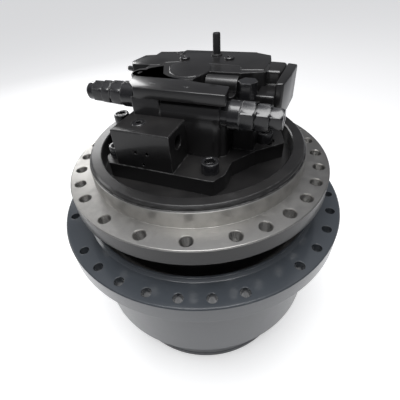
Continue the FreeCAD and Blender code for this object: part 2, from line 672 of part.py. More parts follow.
def friction_discs():
    """Brake discs with inner teeth that ride on the cylinder block."""
    discs = []
    notches = round_pattern(block(BLOCK_R, BLOCK_R + 5.5, -4.2, 4.2, BRAKE_BASE - 1, BRAKE_TOP + 1), 12)
    for i in range(BRAKE_DISCS):
        z = BRAKE_BASE + 2 * i * (BRAKE_DISC_T + BRAKE_GAP)
        discs.append(ring(BRAKE_OUTER_R, BLOCK_R + LOOSE, z, z + BRAKE_DISC_T).cut(notches))
    return discs


def brake_plates():
    """Steel plates between the brake discs, held by the casing."""
    plates = []
    for i in range(BRAKE_DISCS):
        z = BRAKE_BASE + (2 * i + 1) * (BRAKE_DISC_T + BRAKE_GAP)
        plates.append(ring(MOTOR_BORE_R - SEATED, BRAKE_INNER_R, z, z + BRAKE_DISC_T))
    return plates


def brake_piston():
    z = BRAKE_TOP + BRAKE_GAP
    return turned([(BRAKE_INNER_R, z), (BRAKE_OUTER_R, z), (BRAKE_OUTER_R, z + 5), (MOTOR_BORE_R - RUNNING, z + 5),
                   (MOTOR_BORE_R - RUNNING, z + BRAKE_PISTON_T), (BRAKE_INNER_R, z + BRAKE_PISTON_T)])


def brake_spring():
    """Disc spring that presses the brake piston on the plates."""
    z = BRAKE_TOP + BRAKE_GAP + BRAKE_PISTON_T
    top = COVER_SPIGOT_BASE
    return turned([(BRAKE_OUTER_R, z), (BRAKE_OUTER_R + 4, z), (BRAKE_INNER_R + 8, top), (BRAKE_INNER_R + 4, top)])


def valve_plate():
    """Port plate with a row of kidney ports for each side."""
    top = COVER_SPIGOT_BASE
    body = ring(BLOCK_R - 6, SHAFT_R + 6, top - VALVE_PLATE_T + RUNNING, top)
    kidneys = [arc_slot(PISTON_PCD_R, PISTON_R - 6, middle, 65, top - VALVE_PLATE_T - 1, top + 1) for middle in (0, 180)]
    return body.cut(kidneys)


def arc_slot(radius, half_width, middle, half_angle, z0, z1):
    """Kidney shaped slot along an arc about Z."""
    sector = ring(radius + half_width, radius - half_width, z0, z1)
    far = 3 * radius
    wedge = slab([(0, 0), tuple(polar(far, middle - half_angle))[:2], tuple(polar(far, middle))[:2],
                  tuple(polar(far, middle + half_angle))[:2]], z0, z1)
    ends = [rod(half_width, polar(radius, middle + side * half_angle, z0), polar(radius, middle + side * half_angle, z1))
            for side in (-1, 1)]
    return joined(sector.common(wedge), *ends)

# ================================================================ rear cover
def rounded(points, radius, z0, z1):
    """Prism with rounded outward corners."""
    face = Part.Face(Part.makePolygon([V(x, y, z0) for x, y in points + points[:1]]))
    return face.makeOffset2D(-radius).makeOffset2D(radius).extrude(V(0, 0, z1 - z0))


def rear_flange():
    """Base flange of the rear cover: a straight front edge, a waist at the right and a round back."""
    back = [tuple(polar(COVER_FLANGE_R, a))[:2] for a in range(10, 196, 15)]
    outline = [(PORT_BLOCK_LEFT - 34, PORT_BLOCK_FRONT + 14), (PORT_BLOCK_LEFT - 20, PORT_BLOCK_FRONT - 1),
               (78, PORT_BLOCK_FRONT - 1), (90, -98), (91, -58), (120, -14)]
    return rounded(outline + back, 6, FLOOR, COVER_FLANGE_TOP)


def rear_cover():
    """Rear cover casting: flange, motor spigot, port block, tower under the valves and its side lobes."""
    spigot = ring(MOTOR_BORE_R - SEATED, 0, COVER_SPIGOT_BASE, FLOOR)
    ports = block(PORT_BLOCK_LEFT, PORT_BLOCK_LEFT + PORT_BLOCK_W, PORT_BLOCK_FRONT, VALVE_FRONT + 14,
                  COVER_FLANGE_TOP, PORT_BLOCK_TOP)
    ports = ports.makeChamfer(1.5, [e for e in ports.Edges if e.BoundBox.ZMin > PORT_BLOCK_TOP - 1])
    tower = rounded([(VALVE_LEFT + 4, VALVE_FRONT + 12), (VALVE_RIGHT, VALVE_FRONT + 12), (VALVE_RIGHT, 20),
                     (108, 60), (96, 112), (70, TOWER_BACK), (-60, TOWER_BACK), (-92, 96), (VALVE_LEFT + 4, 30)],
                    8, COVER_FLANGE_TOP, PORT_BLOCK_TOP)
    shoulder = rounded([(VALVE_LEFT - 2, VALVE_BACK), (VALVE_RIGHT, VALVE_BACK), (VALVE_RIGHT, 40), (SERVO_LEFT, 54),
                        (SERVO_LEFT, 84), (100, 114), (80, TOWER_BACK + 6), (-30, TOWER_BACK + 6), (-78, 118),
                        (-112, 88), (VALVE_LEFT - 20, 34)], 6, PORT_BLOCK_TOP, VALVE_TOP)
    trough = rounded([(SHUTTLE_LEFT - 18, VALVE_BACK - 2), (VALVE_RIGHT + 4, VALVE_BACK - 2), (VALVE_RIGHT + 4, TROUGH_BACK),
                      (SHUTTLE_LEFT - 4, TROUGH_BACK)], 6, VALVE_TOP - TROUGH_DEPTH, VALVE_TOP + 1)
    side_shelf = rounded([(VALVE_RIGHT, -14), (SERVO_LEFT, -14), (SERVO_LEFT, 66), (VALVE_RIGHT, 66)], 4,
                         COVER_FLANGE_TOP, SHELF_TOP)
    left_lobe = Part.makeCylinder(24, VALVE_TOP - PORT_BLOCK_TOP + 26, V(-100, 17, PORT_BLOCK_TOP - 26), UP)
    shuttle_boss = rod(SHUTTLE_R, V(SHUTTLE_LEFT, SHUTTLE_Y, SHUTTLE_Z), V(VALVE_RIGHT + 1, SHUTTLE_Y, SHUTTLE_Z))
    drain_boss = rod(DRAIN_BOSS_R, V(*DRAIN_PORT, COVER_FLANGE_TOP), V(*DRAIN_PORT, DRAIN_BOSS_TOP))
    drain_web = block(DRAIN_PORT[0], VALVE_LEFT + 6, DRAIN_PORT[1] - 6, DRAIN_PORT[1] + 6,
                      COVER_FLANGE_TOP, DRAIN_BOSS_TOP - DRAIN_PORT_DEPTH - 4)
    pads = [rod(17, place + V(0, 0, FLOOR), place + V(0, 0, COVER_FLANGE_TOP + 5)) for place in cover_screw_places()[3:]]
    body = joined(rear_flange(), spigot, ports, tower, shoulder.cut(trough), side_shelf, left_lobe, shuttle_boss,
                  drain_boss, drain_web, *pads)
    cuts = [ring(SHAFT_BEARING_R - 6, 0, COVER_SPIGOT_BASE - 1, COVER_SPIGOT_BASE + 2 + SHAFT_BEARING_W + 4)]
    for place in cover_screw_places():
        cuts.append(rod(M16_R + LOOSE, place + V(0, 0, FLOOR - 1), place + V(0, 0, COVER_SCREW_TOP)))
        cuts.append(rod(M16_HEAD_R + 1.5, place + V(0, 0, COVER_SCREW_TOP), place + V(0, 0, TOP_PLATE_TOP)))
    cuts += port_bores()
    return body.cut(cuts)


def port_bores():
    """Main ports in both ends of the port block, the drain port and the threaded holes of its front face."""
    left, right = PORT_BLOCK_LEFT, PORT_BLOCK_LEFT + PORT_BLOCK_W
    middle = (PORT_BLOCK_FRONT + VALVE_FRONT) / 2
    bores = [rod(PORT_R, V(right - PORT_DEPTH, middle, PORT_Z), V(right + 1, middle, PORT_Z)),
             rod(PORT_R, V(left - 1, middle, PORT_Z), V(left + PORT_DEPTH, middle, PORT_Z)),
             rod(DRAIN_PORT_R, V(*DRAIN_PORT, DRAIN_BOSS_TOP - DRAIN_PORT_DEPTH), V(*DRAIN_PORT, DRAIN_BOSS_TOP + 1)),
             rod(PORT_PLUG_R, V(*PORT_PLUG, PORT_BLOCK_TOP - 12), V(*PORT_PLUG, PORT_BLOCK_TOP + 1))]
    for x, z in ((-58, 500), (-36, 500), (-46, 478)):
        bores.append(rod(3, V(x, PORT_BLOCK_FRONT - 1, z), V(x, PORT_BLOCK_FRONT + 14, z)))
    return bores


def rear_cover_screws():
    return [cap_screw(M16_HEAD_R, M16_R - SEATED, 14, COVER_SCREW_TOP - FLOOR + 30, place + V(0, 0, COVER_SCREW_TOP))
            for place in cover_screw_places()]


def port_plug():
    """Flush socket plug in the top of the port block."""
    seat = V(*PORT_PLUG, PORT_BLOCK_TOP - 12)
    plug = rod(PORT_PLUG_R, seat, seat + V(0, 0, 13.5))
    return chamfer_rounds(plug, 1, lambda e: e.CenterOfMass.z > PORT_BLOCK_TOP).cut(hexagon(10, 9, seat + V(0, 0, 5), UP))


def valve_body():
    """Counterbalance valve housing: flat head, round spool barrel and a thin top deck."""
    deck = rounded([(VALVE_LEFT, VALVE_FRONT), (VALVE_RIGHT + 2, VALVE_FRONT), (VALVE_RIGHT + 8, VALVE_BACK),
                    (VALVE_LEFT, VALVE_BACK)], 3, VALVE_TOP - 7, VALVE_TOP)
    head = block(VALVE_LEFT, VALVE_LEFT + 48, VALVE_FRONT + 1, VALVE_BACK, PORT_BLOCK_TOP, VALVE_TOP - 6)
    barrel = rod(SPOOL_BARREL_R, V(VALVE_LEFT, SPOOL_Y, SPOOL_Z), V(VALVE_RIGHT, SPOOL_Y, SPOOL_Z))
    foot = block(VALVE_LEFT, VALVE_RIGHT, SPOOL_Y - 8, VALVE_BACK, PORT_BLOCK_TOP, VALVE_TOP - 6)
    room = block(VALVE_LEFT - 1, VALVE_RIGHT + 1, VALVE_FRONT - 20, VALVE_BACK, PORT_BLOCK_TOP - 40, PORT_BLOCK_TOP)
    body = joined(deck, head, barrel, foot).cut(room)
    bore = rod(SPOOL_R + RUNNING, V(VALVE_LEFT - 1, SPOOL_Y, SPOOL_Z), V(VALVE_RIGHT + 1, SPOOL_Y, SPOOL_Z))
    threads = [rod(RELIEF_THREAD_R, V(VALVE_LEFT - 1, SPOOL_Y, SPOOL_Z), V(VALVE_LEFT + RELIEF_ENTRY, SPOOL_Y, SPOOL_Z)),
               rod(RELIEF_THREAD_R, V(VALVE_RIGHT - RELIEF_ENTRY, SPOOL_Y, SPOOL_Z), V(VALVE_RIGHT + 1, SPOOL_Y, SPOOL_Z))]
    return body.cut([bore] + threads)


def spool_point(x):
    return V(x, SPOOL_Y, SPOOL_Z)


def spool_middle():
    return (VALVE_LEFT + VALVE_RIGHT) / 2


def counterbalance_spool():
    """Spool with three lands and two waists."""
    half = SPOOL_LENGTH / 2
    middle = spool_middle()
    spool = rod(SPOOL_R, spool_point(middle - half), spool_point(middle + half))
    waists = []
    for side in (-1, 1):
        start = spool_point(middle + side * half * 0.28)
        end = spool_point(middle + side * half * 0.62)
        waists.append(rod(SPOOL_R + 1, start, end).cut(rod(SPOOL_R * 0.6, start, end)))
    return spool.cut(waists)


def disc_stack(outer, inner, thickness, length, count):
    """Stack of spring discs along +Z on the sleeve that guides them."""
    pitch = (length - thickness) / (count - 1)
    discs = [ring(outer, inner, i * pitch, i * pitch + thickness) for i in range(count)]
    return joined(ring(inner + thickness, inner, 0, length), *discs)


def spool_springs():
    """Centring disc springs between the spool's ends and the relief valves."""
    springs = []
    for side in (-1, 1):
        face = VALVE_LEFT if side < 0 else VALVE_RIGHT
        start = spool_middle() + side * SPOOL_LENGTH / 2
        length = abs(face - side * RELIEF_ENTRY - start)
        stack = disc_stack(SPOOL_R - LOOSE, SPOOL_R / 2, SPRING_T, length, SPRING_DISCS)
        stack.Placement = FreeCAD.Placement(spool_point(start), FreeCAD.Rotation(UP, ALONG_X * side))
        springs.append(stack)
    return springs


def relief_valve(side, sections):
    """Relief valve screwed into one end of the spool bore, out of (kind, radius, length) sections."""
    face = VALVE_LEFT if side < 0 else VALVE_RIGHT
    x = face - side * RELIEF_ENTRY
    shapes = [rod(RELIEF_THREAD_R - SEATED, spool_point(x), spool_point(face))]
    x = face
    for kind, radius, length in sections:
        if kind == "hex":
            shapes.append(hexagon(2 * radius, length, spool_point(x), ALONG_X * side))
        else:
            shapes.append(rod(radius, spool_point(x), spool_point(x + side * length)))
        x += side * length
    return joined(*shapes), x


def relief_valve_left():
    return relief_valve(-1, [("round", RELIEF_R - 1, 14), ("hex", RELIEF_R, 36), ("round", RELIEF_R - 1.5, 14)])


def relief_cap_left(x):
    nut = hexagon(2 * RELIEF_R - 3, 19, spool_point(x), -ALONG_X)
    dome = rod(RELIEF_R - 4, spool_point(x - 19), spool_point(x - 31))
    dome = chamfer_rounds(dome, 4, lambda e: e.CenterOfMass.x < x - 30)
    return joined(nut, dome)


def relief_valve_right():
    return relief_valve(1, [("round", RELIEF_R - 1, 8), ("round", RELIEF_R + 1, 20), ("hex", RELIEF_R, 22)])


def relief_nut_right(x):
    return hexagon(2 * RELIEF_R - 2, 17, spool_point(x), ALONG_X).cut(rod(9, spool_point(x + 10), spool_point(x + 18)))


def relief_cap_right(x):
    stem = rod(9 - SEATED, spool_point(x - 7), spool_point(x))
    cap = hexagon(2 * RELIEF_R - 6, 22, spool_point(x), ALONG_X)
    return joined(stem, cap)


# ================================================================ top cover, two speed valve and plugs
def top_cover():
    """Valve deck: a stepped plate on the rear cover with a round front lobe."""
    plate = rounded([(-62, 34), (20, 44), (74, 43), (116, 32), (115, 90), (104, 116), (84, 140), (-28, 140),
                     (-60, 134), (-80, 118), (-112, 115), (-117, 92), (-138, 84), (-145, 58), (-138, 36), (-106, 27), (-70, 33)],
                    5, VALVE_TOP, TOP_PLATE_TOP)
    lobe = rod(LOBE_R, V(*LOBE, VALVE_TOP), V(*LOBE, TOP_PLATE_TOP))
    under_left = slab([(-143, 42), (-126, 38), (-126, 84), (-135, 82)], VALVE_TOP - 24, VALVE_TOP)
    step = rounded([(-40, 108), (76, 108), (84, 150), (-44, 150)], 4, TOP_PLATE_TOP - 3, TOP_PLATE_TOP + 1)
    wells = [rod(PLUG_R, V(x, y, TOP_PLATE_TOP - 6), V(x, y, TOP_PLATE_TOP + 1)) for x, y in TOP_PLUGS]
    wells.append(rod(CAP_R, V(*CAP, TOP_PLATE_TOP - 8), V(*CAP, TOP_PLATE_TOP + 1)))
    return joined(plate, lobe, under_left).cut([step] + wells)


def top_plugs():
    """Low socket plugs in the valve deck and one on the left lobe."""
    plugs = []
    for x, y in TOP_PLUGS:
        plug = rod(PLUG_R - SEATED, V(x, y, TOP_PLATE_TOP - 6), V(x, y, TOP_PLATE_TOP + 4))
        plugs.append(plug.cut(hexagon(8, 6, V(x, y, TOP_PLATE_TOP - 1), UP)))
    lobe = rod(12, V(-104, 12, VALVE_TOP), V(-104, 12, VALVE_TOP + 5))
    plugs.append(lobe.cut(hexagon(9, 4, V(-104, 12, VALVE_TOP + 2), UP)))
    return plugs


def shipping_cap():
    """Plastic cap in the pilot port of the valve deck."""
    base = V(*CAP, TOP_PLATE_TOP - 8)
    stem = rod(CAP_R - SEATED, base, base + V(0, 0, 8 + CAP_H))
    skirt = rod(CAP_R + 5, base + V(0, 0, 8), base + V(0, 0, 12))
    return chamfer_rounds(joined(stem, skirt), 1, lambda e: e.CenterOfMass.z > TOP_PLATE_TOP + CAP_H - 1)


def hex_plug():
    """Tall hexagon plug on the side shelf."""
    seat = V(*HEX_PLUG, SHELF_TOP)
    collar = rod(HEX_PLUG_AF / 2 - 1, seat, seat + V(0, 0, 4))
    return joined(hexagon(HEX_PLUG_AF, VALVE_TOP - 3 - SHELF_TOP, seat, UP), collar)


def side_fitting():
    """Small test fitting that sticks out of the valve deck at the left."""
    axis = V(-40, 8, 0).normalize()
    start = V(-139, 62, VALVE_TOP - 12)
    return joined(hexagon(14, 16, start, axis), rod(5, start, start + axis * 30))


def servo_block():
    """Two speed valve block at the right side of the rear cover."""
    base = rounded([(SERVO_LEFT, 30), (SERVO_RIGHT, -18), (SERVO_RIGHT, 86), (SERVO_LEFT, 86)], 3,
                   SERVO_BASE, SERVO_Z)
    rear = rounded([(SERVO_LEFT, SERVO_Y), (SERVO_RIGHT, SERVO_Y), (SERVO_RIGHT, 86), (SERVO_LEFT, 86)], 2,
                   SERVO_Z - 1, SERVO_Z + SERVO_R + 2)
    barrel = rod(SERVO_R, V(SERVO_LEFT, SERVO_Y, SERVO_Z), V(SERVO_RIGHT - 12, SERVO_Y, SERVO_Z))
    plug = rod(SERVO_R - 4, V(SERVO_RIGHT - 14, SERVO_Y - 3, SERVO_Z), V(SERVO_RIGHT, SERVO_Y - 3, SERVO_Z))
    return joined(base, rear, barrel, plug)


def servo_end_plate():
    """Closing plate on the outer end of the two speed valve block."""
    plate = block(SERVO_RIGHT, SERVO_RIGHT + 7, -18, 86, SERVO_BASE + 4, SERVO_Z + SERVO_R)
    return plate.makeChamfer(2, [e for e in plate.Edges if e.BoundBox.XMin > SERVO_RIGHT + 6])


def main():
    os.makedirs("parts", exist_ok=True)
    save("hub_housing", hub_housing())
    save("end_cover", end_cover())
    save("end_cover_screws", end_cover_screws())
    save("end_cover_plugs", end_cover_plugs())
    save("ring_gear_1", ring_gear_1())
    save("ring_gear_2", ring_gear_2())
    save("main_bearing_outer_rings", main_bearing_outer_rings())
    save("floating_seal_lower", floating_seal_lower())
    save("load_ring_lower", load_ring_lower())
    save("floating_seal_upper", floating_seal_upper())
    save("load_ring_upper", load_ring_upper())
    save("main_casing", main_casing())
    save("bearing_nut", bearing_nut())
    save("main_bearing_inner_rings", main_bearing_inner_rings())
    save("main_bearing_rollers", main_bearing_rollers())
    save("carrier_2", carrier_2())
    save("planet_pins_2", planet_pins_2())
    save("planet_bearings_2", planet_bearings_2())
    save("sun_gear_2", sun_gear_2())
    save("carrier_1", carrier_1())
    save("planet_pins_1", planet_pins_1())
    save("planet_bearings_1", planet_bearings_1())
    save("sun_gear_1", sun_gear_1())
    for letter, planet in zip("abc", planets(MODULE_1, PLANET_1_TEETH, SUN_1_TEETH, PLANETS_1, PLANET_1_PCD_R,
                                             PIN_1_R + NEEDLE_T + RUNNING, STAGE_1_Z, STAGE_1_W)):
        save("planet_gear_1" + letter, planet)
    for letter, planet in zip("abcd", planets(MODULE_2, PLANET_2_TEETH, SUN_2_TEETH, PLANETS_2, PLANET_2_PCD_R,
                                              PIN_2_R + NEEDLE_T + RUNNING, STAGE_2_Z, STAGE_2_W)):
        save("planet_gear_2" + letter, planet)
    save("motor_shaft", motor_shaft())
    save("shaft_bearings", shaft_bearings())
    save("swash_plate", swash_plate())
    save("pistons", pistons())
    save("slipper_shoes", slipper_shoes())
    save("retainer_plate", retainer_plate())
    save("cylinder_block", cylinder_block())
    save("friction_discs", friction_discs())
    save("brake_plates", brake_plates())
    save("brake_piston", brake_piston())
    save("brake_spring", brake_spring())
    save("valve_plate", valve_plate())
    save("rear_cover", rear_cover())
    save("rear_cover_screws", rear_cover_screws())
    save("port_plug", port_plug())
    save("valve_body", valve_body())
    save("counterbalance_spool", counterbalance_spool())
    save("spool_springs", spool_springs())
    relief, cap_x = relief_valve_left()
    save("relief_valve_left", relief)
    save("relief_cap_left", relief_cap_left(cap_x))
    relief, nut_x = relief_valve_right()
    save("relief_valve_right", relief)
    save("relief_nut_right", relief_nut_right(nut_x))
    save("relief_cap_right", relief_cap_right(nut_x + 17))
    save("top_cover", top_cover())
    save("top_plugs", top_plugs())
    save("shipping_cap", shipping_cap())
    save("hex_plug", hex_plug())
    save("side_fitting", side_fitting())
    save("servo_block", servo_block())
    save("servo_end_plate", servo_end_plate())


if __name__ == "__main__":
    main()
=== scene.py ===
"""Dressed model of an excavator's travel final drive.

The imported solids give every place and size.  This script adds the finishes (gloss paint over
castings, bare turned steel, blackened fittings), the threads in the flange holes and the small
marks of the castings, and sets up a pale studio.
"""
import logging
import math
from dataclasses import dataclass
from enum import Enum
from typing import Optional, Sequence

import bmesh
import bpy
from mathutils import Matrix, Vector


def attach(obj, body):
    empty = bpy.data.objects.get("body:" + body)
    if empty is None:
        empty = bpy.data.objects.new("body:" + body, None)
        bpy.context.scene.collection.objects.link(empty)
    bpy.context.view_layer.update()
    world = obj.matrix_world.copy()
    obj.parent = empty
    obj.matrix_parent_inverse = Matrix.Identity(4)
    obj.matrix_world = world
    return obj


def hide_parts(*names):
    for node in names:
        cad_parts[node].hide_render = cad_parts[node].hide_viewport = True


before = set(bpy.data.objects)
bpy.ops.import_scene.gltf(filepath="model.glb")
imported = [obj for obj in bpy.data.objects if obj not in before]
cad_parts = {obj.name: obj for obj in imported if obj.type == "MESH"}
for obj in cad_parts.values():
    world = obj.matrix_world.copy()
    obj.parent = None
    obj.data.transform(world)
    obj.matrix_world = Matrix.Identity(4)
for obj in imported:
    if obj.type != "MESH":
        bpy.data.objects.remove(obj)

LOG = logging.getLogger("final_drive")
MM = 0.001
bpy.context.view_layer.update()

# Heights and radius, in metres, that bound the bare steel of the casing.
FLANGE_TOP = 0.4325
SPIGOT_TOP = 0.464
BARE_RADIUS = 0.2045
SMOOTH_ANGLE = math.radians(34)
COAT_ROUGHNESS = 0.12


# ---------------------------------------------------------------- node tree helpers
class Tree:
    """Thin typed wrapper round a node tree."""

    def __init__(self, tree: bpy.types.NodeTree) -> None:
        """Keep the tree that the nodes go into."""
        self.tree = tree

    def node(self, kind: str, inputs: Optional[dict] = None, **settings: object) -> bpy.types.Node:
        """Add one node.

        Args:
            kind: Blender's node type name.
            inputs: values or sockets by input name or index.
            settings: attributes of the node.

        Returns:
            The new node.
        """
        made = self.tree.nodes.new(kind)
        for name, value in settings.items():
            setattr(made, name, value)
        for key, value in (inputs or {}).items():
            self.feed(made.inputs[key], value)
        return made

    def feed(self, socket: bpy.types.NodeSocket, value: object) -> None:
        """Link a socket or set a plain value on an input.

        Args:
            socket: the input.
            value: another node's output, or a plain value.
        """
        if isinstance(value, bpy.types.NodeSocket):
            self.tree.links.new(value, socket)
        else:
            socket.default_value = value

    def math(self, operation: str, *values: object, clamp: bool = False) -> bpy.types.NodeSocket:
        """Add a Math node and return its output."""
        made = self.node("ShaderNodeMath", dict(enumerate(values)), operation=operation, use_clamp=clamp)
        return made.outputs[0]

    def mix_colour(self, factor: object, first: object, second: object) -> bpy.types.NodeSocket:
        """Mix two colours.

        Args:
            factor: 0 gives the first, 1 the second.
            first: colour or socket.
            second: colour or socket.

        Returns:
            The mixed colour.
        """
        made = self.node("ShaderNodeMix", None, data_type="RGBA")
        self.feed(made.inputs[0], factor)
        self.feed(made.inputs[6], first)
        self.feed(made.inputs[7], second)
        return made.outputs[2]

    def noise(self, vector: object, scale: object, detail: float = 4.0) -> bpy.types.NodeSocket:
        """Add a noise texture and return its factor."""
        made = self.node("ShaderNodeTexNoise", {"Vector": vector, "Scale": scale, "Detail": detail})
        return made.outputs["Fac"]

    def object_point(self) -> bpy.types.NodeSocket:
        """Object coordinates."""
        return self.node("ShaderNodeTexCoord").outputs["Object"]

    def steps(self, value: object, low: object, high: object) -> bpy.types.NodeSocket:
        """Map a value smoothly onto 0 to 1.

        Args:
            value: the value or socket.
            low: where the result is 0.
            high: where the result is 1.

        Returns:
            The mapped value.
        """
        made = self.node("ShaderNodeMapRange", {"Value": value, "From Min": low, "From Max": high},
                         interpolation_type="SMOOTHSTEP")
        return made.outputs["Result"]


def rgb(red: float, green: float, blue: float) -> tuple[float, float, float, float]:
    """Opaque colour."""
    return (red, green, blue, 1.0)


class GroupKit:
    """Shader node groups that several finishes share."""

    def __init__(self) -> None:
        """Build each group once."""
        self.edges = self._edges()
        self.cast = self._cast()
        self.turned = self._turned()
        self.dust = self._dust()

    @staticmethod
    def _start(name: str, inputs: Sequence[tuple[str, str, object]], outputs: Sequence[tuple[str, str]]
               ) -> tuple[Tree, bpy.types.Node, bpy.types.Node]:
        """Make an empty group with named sockets.

        Args:
            name: the group's name.
            inputs: (name, socket type, default) of each input.
            outputs: (name, socket type) of each output.

        Returns:
            The tree, its input node and its output node.
        """
        group = bpy.data.node_groups.new(name, "ShaderNodeTree")
        for title, kind, default in inputs:
            socket = group.interface.new_socket(title, in_out="INPUT", socket_type=kind)
            if default is not None:
                socket.default_value = default
        for title, kind in outputs:
            group.interface.new_socket(title, in_out="OUTPUT", socket_type=kind)
        tree = Tree(group)
        return tree, tree.node("NodeGroupInput"), tree.node("NodeGroupOutput")

    def _edges(self) -> bpy.types.NodeTree:
        """Rounded edge normal and a mask that lightens the edges: a painted edge highlight, broken into
        patches by noise like worn paint.

        Returns:
            The node group.
        """
        tree, given, out = self._start(
            "edge_wear_and_painted_highlight", [("Radius", "NodeSocketFloat", 0.002), ("Wear and highlight", "NodeSocketFloat", 0.5)],
            [("Normal", "NodeSocketVector"), ("Mask", "NodeSocketFloat")])
        bevel = tree.node("ShaderNodeBevel", {"Radius": given.outputs["Radius"]}, samples=6)
        plain = tree.node("ShaderNodeNewGeometry").outputs["Normal"]
        dot = tree.node("ShaderNodeVectorMath", {0: bevel.outputs[0], 1: plain}, operation="DOT_PRODUCT")
        bend = tree.math("SUBTRACT", 1.0, dot.outputs["Value"])
        rough = tree.noise(tree.object_point(), 90.0, 6.0)
        gate = tree.steps(rough, 0.35, 0.75)
        # Painted edge highlight: lighter where the rounded normal bends away from the face, in noisy patches
        # like worn paint.
        mask = tree.math("MULTIPLY", tree.steps(bend, 0.02, 0.16), gate)
        tree.feed(out.inputs["Normal"], bevel.outputs[0])
        tree.feed(out.inputs["Mask"], tree.math("MULTIPLY", mask, given.outputs["Wear and highlight"], clamp=True))
        return tree.tree

    def _cast(self) -> bpy.types.NodeTree:
        """Grain of a painted sand casting.

        Returns:
            The node group.
        """
        tree, given, out = self._start(
            "cast_grain", [("Grain", "NodeSocketFloat", 0.4), ("Scale", "NodeSocketFloat", 260.0),
                           ("Normal", "NodeSocketVector", None)],
            [("Normal", "NodeSocketVector"), ("Height", "NodeSocketFloat")])
        point = tree.object_point()
        fine = tree.noise(point, given.outputs["Scale"], 5.0)
        broad = tree.noise(point, 24.0, 3.0)
        height = tree.math("ADD", tree.math("MULTIPLY", fine, 0.5), tree.math("MULTIPLY", broad, 1.4))
        bump = tree.node("ShaderNodeBump", {"Strength": given.outputs["Grain"], "Distance": 0.0006,
                                            "Height": height, "Normal": given.outputs["Normal"]})
        tree.feed(out.inputs["Normal"], bump.outputs[0])
        tree.feed(out.inputs["Height"], height)
        return tree.tree

    def _turned(self) -> bpy.types.NodeTree:
        """Concentric tool marks round the rotation axis.

        Returns:
            The node group.
        """
        tree, given, out = self._start(
            "turned_marks", [("Depth", "NodeSocketFloat", 0.2), ("Pitch", "NodeSocketFloat", 900.0),
                             ("Normal", "NodeSocketVector", None)],
            [("Normal", "NodeSocketVector"), ("Stain", "NodeSocketFloat")])
        point = tree.object_point()
        parts = tree.node("ShaderNodeSeparateXYZ", {0: point})
        x, y, z = parts.outputs
        radius = tree.math("SQRT", tree.math("ADD", tree.math("MULTIPLY", x, x), tree.math("MULTIPLY", y, y)))
        along = tree.math("ADD", radius, z)
        line = tree.node("ShaderNodeTexNoise", {"W": tree.math("MULTIPLY", along, given.outputs["Pitch"]),
                                                "Scale": 1.0, "Detail": 5.0}, noise_dimensions="1D")
        bump = tree.node("ShaderNodeBump", {"Strength": given.outputs["Depth"], "Distance": 0.0003,
                                            "Height": line.outputs["Fac"], "Normal": given.outputs["Normal"]})
        stain = tree.math("MULTIPLY", tree.noise(point, 11.0, 6.0), tree.noise(point, 55.0, 4.0))
        tree.feed(out.inputs["Normal"], bump.outputs[0])
        tree.feed(out.inputs["Stain"], tree.steps(stain, 0.12, 0.42))
        return tree.tree

    def _dust(self) -> bpy.types.NodeTree:
        """Thin dust that settles on faces that look up.

        Returns:
            The node group.
        """
        tree, given, out = self._start("settled_dust", [("Amount", "NodeSocketFloat", 0.3)],
                                       [("Mask", "NodeSocketFloat")])
        normal = tree.node("ShaderNodeSeparateXYZ", {0: tree.node("ShaderNodeNewGeometry").outputs["Normal"]})
        facing = tree.steps(normal.outputs[2], 0.3, 1.0)
        patch = tree.noise(tree.object_point(), 17.0, 7.0)
        mask = tree.math("MULTIPLY", facing, tree.steps(patch, 0.3, 0.75))
        tree.feed(out.inputs["Mask"], tree.math("MULTIPLY", mask, given.outputs["Amount"], clamp=True))
        return tree.tree


@dataclass(frozen=True)
class PaintFinish:
    """Gloss paint over a casting or over machined steel."""

    name: str
    colour: tuple[float, float, float, float]
    roughness: float = 0.3
    coat: float = 0.4
    grain: float = 0.25
    grain_scale: float = 260.0
    edge_radius: float = 0.0025
    # strength of the painted edge highlight, in patches like worn paint
    wear_and_highlight: float = 0.25
    dust: float = 0.3

    def build(self, groups: GroupKit) -> bpy.types.Material:
        """Make the material.

        Args:
            groups: the shared shader groups.

        Returns:
            The finished material.
        """
        material = bpy.data.materials.new(self.name)
        material.use_nodes = True
        tree = Tree(material.node_tree)
        shader = material.node_tree.nodes["Principled BSDF"]
        colour, roughness, normal = self.layers(tree, groups)
        tree.feed(shader.inputs["Base Color"], colour)
        tree.feed(shader.inputs["Roughness"], roughness)
        tree.feed(shader.inputs["Normal"], normal)
        shader.inputs["Coat Weight"].default_value = self.coat
        shader.inputs["Coat Roughness"].default_value = COAT_ROUGHNESS
        return material

    def layers(self, tree: Tree, groups: GroupKit
               ) -> tuple[bpy.types.NodeSocket, bpy.types.NodeSocket, bpy.types.NodeSocket]:
        """Layer the colour, roughness and normal of the paint.

        Args:
            tree: the material's tree.
            groups: the shared shader groups.

        Returns:
            The colour, the roughness and the normal.
        """
        edges = tree.node("ShaderNodeGroup", node_tree=groups.edges)
        edges.inputs["Radius"].default_value = self.edge_radius
        edges.inputs["Wear and highlight"].default_value = self.wear_and_highlight
        cast = tree.node("ShaderNodeGroup", node_tree=groups.cast)
        cast.inputs["Grain"].default_value = self.grain
        cast.inputs["Scale"].default_value = self.grain_scale
        tree.feed(cast.inputs["Normal"], edges.outputs["Normal"])
        dust = tree.node("ShaderNodeGroup", node_tree=groups.dust)
        dust.inputs["Amount"].default_value = self.dust
        point = tree.object_point()
        tone = tree.noise(point, 6.0, 3.0)
        dark = tuple(0.8 * c for c in self.colour[:3]) + (1.0,)
        light = tuple(1.25 * c + 0.002 for c in self.colour[:3]) + (1.0,)
        colour = tree.mix_colour(tone, dark, light)
        colour = tree.mix_colour(dust.outputs["Mask"], colour, rgb(0.23, 0.22, 0.205))
        # Edges lightened towards grey: painted edge highlight on the black paint, patchy like worn paint.
        colour = tree.mix_colour(edges.outputs["Mask"], colour, rgb(0.30, 0.30, 0.30))
        rough = tree.math("ADD", self.roughness, tree.math("MULTIPLY", dust.outputs["Mask"], 0.5))
        rough = tree.math("ADD", rough, tree.math("MULTIPLY", tree.math("SUBTRACT", tone, 0.5), 0.12),
                          clamp=True)
        return colour, rough, cast.outputs["Normal"]


